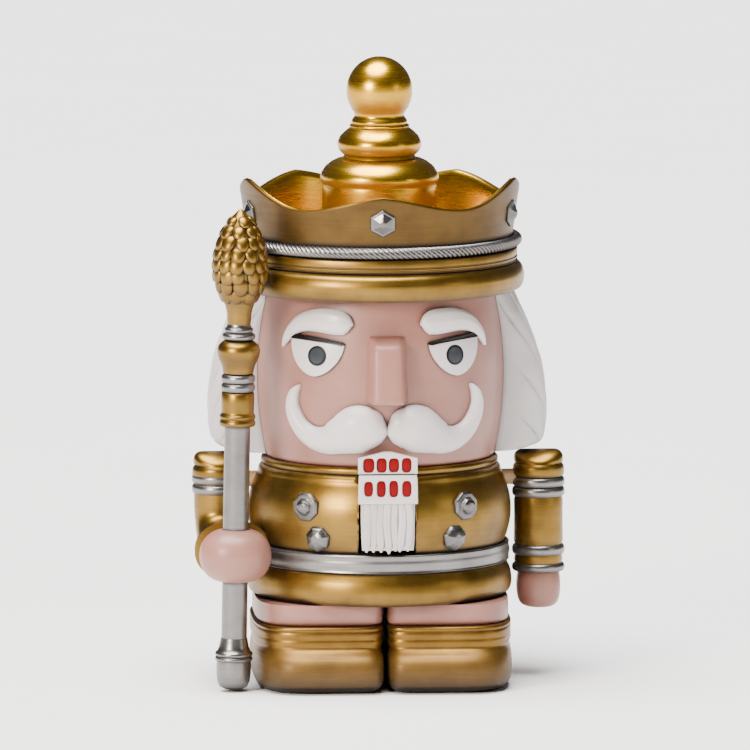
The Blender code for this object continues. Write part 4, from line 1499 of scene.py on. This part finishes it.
@dataclass
class Arms:
    """Both arms: the left hangs free on its peg, and the right is bent to hold the staff."""

    radius: float = 6.05
    shoulder: float = 50.0
    reach: float = 7.0
    square_from: float = 53.6
    bend: float = 8.5
    bend_steps: int = 12
    elbow_out: float = 0.9
    fist_depth: float = 8.7
    bore: float = 3.42

    def build(self) -> None:
        """Builds both arms."""
        self.left()
        self.right()

    def shoulder_rows(self, x: float, y: float) -> list[tuple[float, ...]]:
        """The top of a sleeve: two gold rolls, round about the peg so that the arm can swing.

        Args:
            x: The sleeve's centre.
            y: The sleeve's centre.

        Returns:
            Rows for a column, from the upper band to the crown of the shoulder.
        """
        plan = [(50.2, 5.9), (50.5, 6.35), (51.2, 6.5), (52.2, 6.5), (52.9, 6.35), (53.35, 6.0), (53.6, 5.85)]
        plan += [(53.9, 6.1), (54.5, 6.2), (55.3, 6.15), (56.0, 5.85), (56.5, 5.4), (56.85, 4.7), (57.0, 3.9)]
        rows = []
        for z, half in plan:
            deep = min(half, math.sqrt(max(0.04, self.reach**2 - (z - self.shoulder) ** 2)))
            rows.append((z, x, y, half, deep, 2.0 + 1.2 * max(0.0, (z - self.square_from) / 3.4)))
        return rows

    def band(self, node: str, x: float, y: float, body: Body, ridges: int = 1) -> None:
        """A silver band of rounded ridges round a sleeve.

        Args:
            node: The CAD node it stands for.
            x: The sleeve's centre.
            y: The sleeve's centre.
            body: The body it moves with.
            ridges: How many ridges it has.
        """
        extent = Extent.of(node)
        low, high, r = extent.low.z, extent.high.z, extent.half.y
        tall = (high - low) / ridges
        profile = [(self.radius - 0.4, high)]
        for k in range(ridges):
            profile += arc(r - 0.75, high - tall * (k + 0.5), 0.75, tall / 2 - 0.04, 88, -88, 9)
        profile.append((self.radius - 0.4, low))
        WORKSHOP.make(f"{node}_silvered", turned(profile, 96, (x, y), True), SATIN_SILVER, node, body)

    def left(self) -> None:
        """The free arm, down to its mitten of a hand."""
        extent, hand = Extent.of("left_sleeve"), Extent.of("left_hand")
        x, y, low, arm = extent.middle.x, hand.middle.y, extent.low.z, Body.LEFT_ARM
        plan = [
            (low - 0.1, -0.5), (low + 0.1, -0.1), (28.6, -0.1), (29.4, 0.05), (30.2, -0.1), (33.3, -0.1),
            (33.7, 0.1), (36.0, 0.12), (40.0, 0.05), (44.4, 0.1), (45.0, -0.1),
        ]
        rows = [(z, x, y, self.radius + more, self.radius + more, 2.0) for z, more in plan]
        sleeve = column([*rows, *self.shoulder_rows(x, y)])
        WORKSHOP.make("left_sleeve_lacquered", sleeve, ANTIQUE_GOLD, "left_sleeve", arm)
        self.band("left_upper_band", x, y, arm, 2)
        self.band("left_lower_band", x, y, arm)
        self.band("left_cuff", x, y, arm)
        base, top = hand.low.z - 0.1, hand.high.z + 0.4
        mitt = [
            (base, x + 0.1, y, 1.6, 2.0, 2.3), (base + 0.25, x + 0.1, y, 3.2, 3.8, 2.4),
            (base + 1.0, x, y, 4.5, 5.0, 2.5), (base + 2.4, x, y, 5.2, 5.8, 2.5),
            (base + 4.6, x, y, 5.5, 6.1, 2.5), (base + 6.8, x, y, 5.5, 6.05, 2.4), (top, x, y, 5.2, 5.6, 2.2),
        ]
        WORKSHOP.make("left_hand_painted", column(mitt, 80, 36), SKIN_PAINT, "left_hand", arm)

    def right(self) -> None:
        """The bent arm, its cuff and the fist that the staff runs through."""
        grip, r, bend = Extent.of("right_fist"), self.radius, self.bend
        x, y, z_low = Extent.of("right_upper_band").middle.x, Extent.of("left_hand").middle.y, grip.middle.z
        wrist = Vector((grip.middle.x - 0.4, Extent.of("right_cuff").low.y + 0.2, z_low))
        rings = [level(*row) for row in reversed(self.shoulder_rows(x, y))]
        rings += [level(z, x, y, r, r, 2.0) for z in (50.0, 46.6, 46.0, 44.4)]
        side = ACROSS * r
        for step in range(self.bend_steps + 1):
            t, out = math.radians(90 * step / self.bend_steps), self.elbow_out * step / self.bend_steps
            c, s = math.cos(t), math.sin(t)
            centre = Vector((x + out, y - bend * (1 - c), z_low + bend * (1 - s)))
            rings.append(squircle(centre, side, Vector((0, c, -s)) * r))
        elbow = Vector((x + self.elbow_out, y - bend, z_low))
        rings += [squircle(elbow.lerp(wrist, share), side, UP * -r) for share in (0.4, 0.8, 1.0)]
        WORKSHOP.make("right_sleeve_lacquered", skinned(rings), ANTIQUE_GOLD, "right_sleeve")
        self.band("right_upper_band", x, y, Body.FIGURE, 2)
        self.cuff(wrist)
        self.fist(grip)

    def cuff(self, wrist: Vector) -> None:
        """A thin gold flange behind the fist, a little wider than the fist.

        Args:
            wrist: The end of the sleeve.
        """
        loops = [(6.2, 6.0, 1.5), (8.6, 6.5, 1.3), (9.3, 7.2, 0.9), (9.6, 7.5, 0.4), (9.5, 7.4, 0.0)]
        loops += [(8.6, 6.4, -0.2), (5.0, 4.6, -0.2)]
        rings = [
            squircle(wrist + Vector((0.3, back, 0)), ACROSS * wide, UP * tall, 2.2)
            for wide, tall, back in loops
        ]
        WORKSHOP.make("right_cuff_lacquered", skinned(rings), ANTIQUE_GOLD, "right_cuff")

    def fist(self, grip: Extent) -> None:
        """A closed fist: a smooth, slightly squared ball, bored for the staff.

        Args:
            grip: The CAD fist's box.
        """
        centre, half, back = STAFF_AXIS.at(grip.middle.z), grip.half, grip.high.y + 0.1
        rings = []
        for t in (math.pi * i / 40 for i in range(1, 40)):
            z = centre.z - (half.z + 0.3) * math.copysign(abs(math.cos(t)) ** 0.98, math.cos(t))
            fat = math.sin(t) ** 0.68
            ring = level(z, centre.x, centre.y, half.x * 0.985 * fat, self.fist_depth * fat, 2.15)
            rings.append([Vector((p.x, min(p.y, back), p.z)) for p in ring])
        bore = turned([(self.bore, grip.high.z + 3), (self.bore, grip.low.z - 3)], 64)
        WORKSHOP.make(
            "right_fist_painted", skinned(rings), SKIN_PAINT, "right_fist", cutters=[STAFF_AXIS.place(bore)],
            sharp=50.0,
        )


@dataclass(frozen=True)
class Lean:
    """The staff's leaning axis."""

    foot: Vector
    way: Vector

    @classmethod
    def from_frame(cls) -> Lean:
        """Reads the axis from the slide joint, and its place from the rod's box.

        Returns:
            The axis.
        """
        joint = next(j for j in frame["joints"] if j["name"] == "staff_slide")
        way = Vector(joint["axis"])
        way /= way.z
        middle = Extent.of("staff_rod").middle
        return cls(middle - way * middle.z, way)

    def at(self, z: float) -> Vector:
        """The axis's point at a height."""
        return self.foot + self.way * z

    def place(self, clay: Clay) -> Clay:
        """Stands a turned piece on the axis."""
        lean = self.way.to_track_quat("Z", "Y").to_matrix().to_4x4()
        return clay.moved(Matrix.Translation(self.foot) @ lean)


STAFF_AXIS = Lean.from_frame()


@dataclass
class Staff:
    """The staff, from its ringed foot to the cone of scales at its head."""

    rod: float = 3.2
    scale_stand: float = 0.85
    scales_from: float = 99.2
    scale_mm: float = 3.3
    seed: int = 11
    outline: tuple[tuple[float, float], ...] = (
        (92.3, 2.9), (93.6, 3.0), (95.6, 3.2), (97.8, 3.9), (99.2, 5.0), (101.2, 5.9), (103.8, 6.7),
        (106.5, 7.0), (109.0, 6.9), (111.4, 6.4), (113.8, 5.7), (116.4, 4.6), (118.8, 3.2), (120.4, 1.9),
        (121.2, 0.9),
    )

    def build(self) -> None:
        """Builds the staff from the foot up."""
        self.turn("staff_rod", ROD_SILVER, [(0.0, 66.9), (self.rod, 66.9), (self.rod, 13.2), (0.0, 13.2)])
        self.turn("staff_foot", ROD_SILVER, [
            (2.0, 13.5), (3.3, 13.5), (3.5, 12.6), (3.75, 11.3), (4.1, 10.3), (4.5, 10.0), (4.7, 9.6),
            (4.65, 9.2), (4.3, 8.95), (4.55, 8.7), (4.7, 8.35), (4.6, 7.95), (4.25, 7.75), (4.35, 6.8),
            (4.3, 4.5), (4.05, 2.6), (3.5, 1.3), (2.6, 0.8), (1.5, 0.7), (0.0, 0.7),
        ])
        self.turn("staff_ferrule", ANTIQUE_GOLD, [
            (3.0, 75.3), (3.9, 75.3), (4.1, 75.0), (4.12, 72.6), (4.05, 70.4), (4.1, 69.8), (4.4, 69.6),
            (4.5, 69.2), (4.4, 68.7), (4.15, 68.55), (4.2, 68.3), (4.45, 68.0), (4.5, 67.4), (4.3, 66.9),
            (3.2, 66.7),
        ])
        upper, lower = (arc(3.55, z, 0.7, 1.1, 85, -85) for z in (78.7, 76.5))
        self.turn("staff_collar", SATIN_SILVER, [(3.2, 79.95), *upper, *lower, (3.2, 75.3)])
        knob = [(2.5, 88.3), (3.4, 88.25), (4.1, 87.9), (4.9, 87.1), (5.3, 86.0), (5.3, 85.2), (5.1, 84.2)]
        knob += [(4.7, 83.2), (4.25, 82.2), (3.95, 81.2), (3.85, 80.5), (3.6, 80.0), (2.5, 80.0)]
        self.turn("staff_knob", ANTIQUE_GOLD, smooth_steps(knob, 44))
        neck = [(2.0, 92.4), (2.9, 92.4), (3.1, 91.6), *arc(3.1, 90.9, 0.5, 0.6, 80, -60, 6), (3.3, 90.3)]
        self.turn("staff_neck", SATIN_SILVER, [*neck, *arc(3.5, 89.3, 0.65, 0.8, 80, -85), (2.6, 88.2)])
        self.cone()

    def turn(self, node: str, finish: Finish, profile: Rows) -> None:
        """A turned length of the staff."""
        WORKSHOP.make(f"{node}_turned", STAFF_AXIS.place(turned(profile, 72)), finish, node, Body.STAFF)

    def cone(self) -> None:
        """A cone of overlapping scales on a smooth stalk, in staggered rows about 2.7 mm apart."""
        core = [(max(0.1, r - self.scale_stand * (z > self.scales_from)), z) for z, r in self.outline]
        clay = turned(smooth_steps(core[::-1], 60), 64)
        rng = random.Random(self.seed)
        row, z = 0, self.scales_from + 0.4
        while z < self.outline[-1][0] - 1.0:
            r = self.cone_radius(z) - self.scale_stand
            count = max(4, round(math.tau * r / self.scale_mm))
            for k in range(count):
                turn = math.tau * (k + 0.5 * (row % 2)) / count + rng.uniform(-0.07, 0.07)
                clay.join(self.scale(turn, z, r, min(1.1, 0.62 + r / 11.0) * rng.uniform(0.88, 1.08)))
            z += 2.0 + 0.12 * r
            row += 1
        WORKSHOP.make("staff_cone_scaled", STAFF_AXIS.place(clay), ANTIQUE_GOLD, "staff_cone", Body.STAFF)

    def cone_radius(self, z: float) -> float:
        """The cone's outer radius at a height.

        Args:
            z: The height.

        Returns:
            The radius, or a little past the tip.
        """
        for (z0, r0), (z1, r1) in zip(self.outline, self.outline[1:]):
            if z <= z1:
                return r0 + (r1 - r0) * (z - z0) / (z1 - z0)
        return 0.5

    def scale(self, turn: float, z: float, r: float, size: float) -> Clay:
        """One rounded scale that overlaps the row above it.

        Args:
            turn: Its angle round the cone.
            z: Its height.
            r: The cone's radius there.
            size: Its size, one being full.

        Returns:
            A closed, flattened drop.
        """
        flat = Vector((math.cos(turn), math.sin(turn), 0.0))
        slope = (self.cone_radius(z + 1.0) - self.cone_radius(z - 1.0)) / 2.0
        up = (UP + flat * slope).normalized()
        across = up.cross(flat).normalized()
        out = across.cross(up).normalized()
        out *= math.copysign(1.0, out.dot(flat))
        tipped = (up - out * 0.16).normalized()
        middle = flat * (r - 0.1) + UP * z
        rings = []
        for t in (math.pi * i / 11 for i in range(1, 11)):
            wide = 1.72 * size * math.sin(t) ** 0.8 * (1.0 - 0.12 * math.cos(t))
            thick = 0.92 * size * math.sin(t) ** 0.8
            centre = middle - tipped * (math.cos(t) * 1.95 * size) + out * 0.12
            rings.append(squircle(centre, across * wide, out * thick, 2.0, 14))
        return skinned(rings)


# ---------------------------------------------------------------- the studio


@dataclass
class Camera:
    """A long lens a little above the figure and towards its right."""

    azimuth: float = -3.5
    elevation: float = 7.0
    distance: float = 4.0
    lens: float = 768.0
    aim_side: float = -0.0011
    aim_height: float = 0.0763

    def build(self) -> None:
        """Creates the camera and makes it the scene's."""
        a, e = math.radians(self.azimuth), math.radians(self.elevation)
        back = Vector((math.sin(a) * math.cos(e), -math.cos(a) * math.cos(e), math.sin(e)))
        aim = Vector((math.cos(a), math.sin(a), 0.0)) * self.aim_side + UP * self.aim_height
        data = bpy.data.cameras.new("camera")
        data.lens, data.sensor_width, data.clip_end = self.lens, 36.0, 20.0
        camera = shown("camera", data)
        camera.location = aim + back * self.distance
        camera.rotation_euler = back.to_track_quat("Z", "Y").to_euler()
        bpy.context.scene.camera = camera


@dataclass
class Room:
    """Seamless paper, a pale surround, two soft boxes and a wide light overhead."""

    paper_half: float = 6000.0
    world_colour: str = "#F2F1EF"
    world_strength: float = 0.12
    chest_height: float = 0.08

    def build(self) -> None:
        """Builds the floor, the surround and the lights."""
        half = self.paper_half
        edge = [Vector((x, y, 0.0)) for x, y in ((-half, -half), (half, -half), (half, half), (-half, half))]
        sheet = WORKSHOP.mesh("floor", Clay(edge, [(0, 1, 2, 3)]), 60.0)
        WORKSHOP.coat(sheet.data, PAPER)
        world = bpy.data.worlds.new("surround")
        bpy.context.scene.world = world
        world.use_nodes = True
        even = {"Color": linear(self.world_colour), "Strength": self.world_strength}
        plug(world.node_tree, world.node_tree.nodes["Background"], even)
        aim = UP * self.chest_height
        self.lamp("key_light", "AREA", (-0.7, -0.8, 0.44), aim, 15.0, "#FFF4E6").size = 0.3
        self.lamp("fill_light", "AREA", (0.85, -0.5, 0.3), aim, 0.5, "#FFFDF8").size = 0.2
        self.lamp("top_light", "SUN", (-0.15, -0.1, 1.0), Vector(), 10.5, "#FFFFFF").angle = math.radians(50.0)

    def lamp(
        self, name: str, kind: str, where: tuple[float, float, float], aim: Vector, power: float, colour: str
    ) -> bpy.types.Light:
        """Hangs a light.

        Args:
            name: The light's name.
            kind: Its Blender type.
            where: Its place in metres.
            aim: What it faces, in metres.
            power: Watts, or watts per square metre for a sun.
            colour: Its colour as a hex code.

        Returns:
            The light, to be given its width.
        """
        data = bpy.data.lights.new(name, kind)
        data.energy, data.color = power, linear(colour)[:3]
        light = shown(name, data)
        light.location = where
        light.rotation_euler = (Vector(where) - aim).to_track_quat("Z", "Y").to_euler()
        return data


def clear_bench() -> None:
    """Removes what a new Blender file holds, and keeps the frame."""
    kept = {*frame["nodes"].values(), *frame["bodies"].values()}
    for obj in list(bpy.data.objects):
        if obj not in kept:
            bpy.data.objects.remove(obj)


def main() -> None:
    """Builds every piece and the studio."""
    logging.basicConfig(level=logging.INFO, format="%(message)s")
    clear_bench()
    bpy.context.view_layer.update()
    Camera().build()
    for maker in (Legs(), Jacket(), Jaw(), Face(), Hair(), Hat(), Arms(), Staff(), Room()):
        maker.build()
        LOG.info("%s done", type(maker).__name__)
    LOG.info("%d pieces made", WORKSHOP.count)


if __name__ == "__main__":
    main()
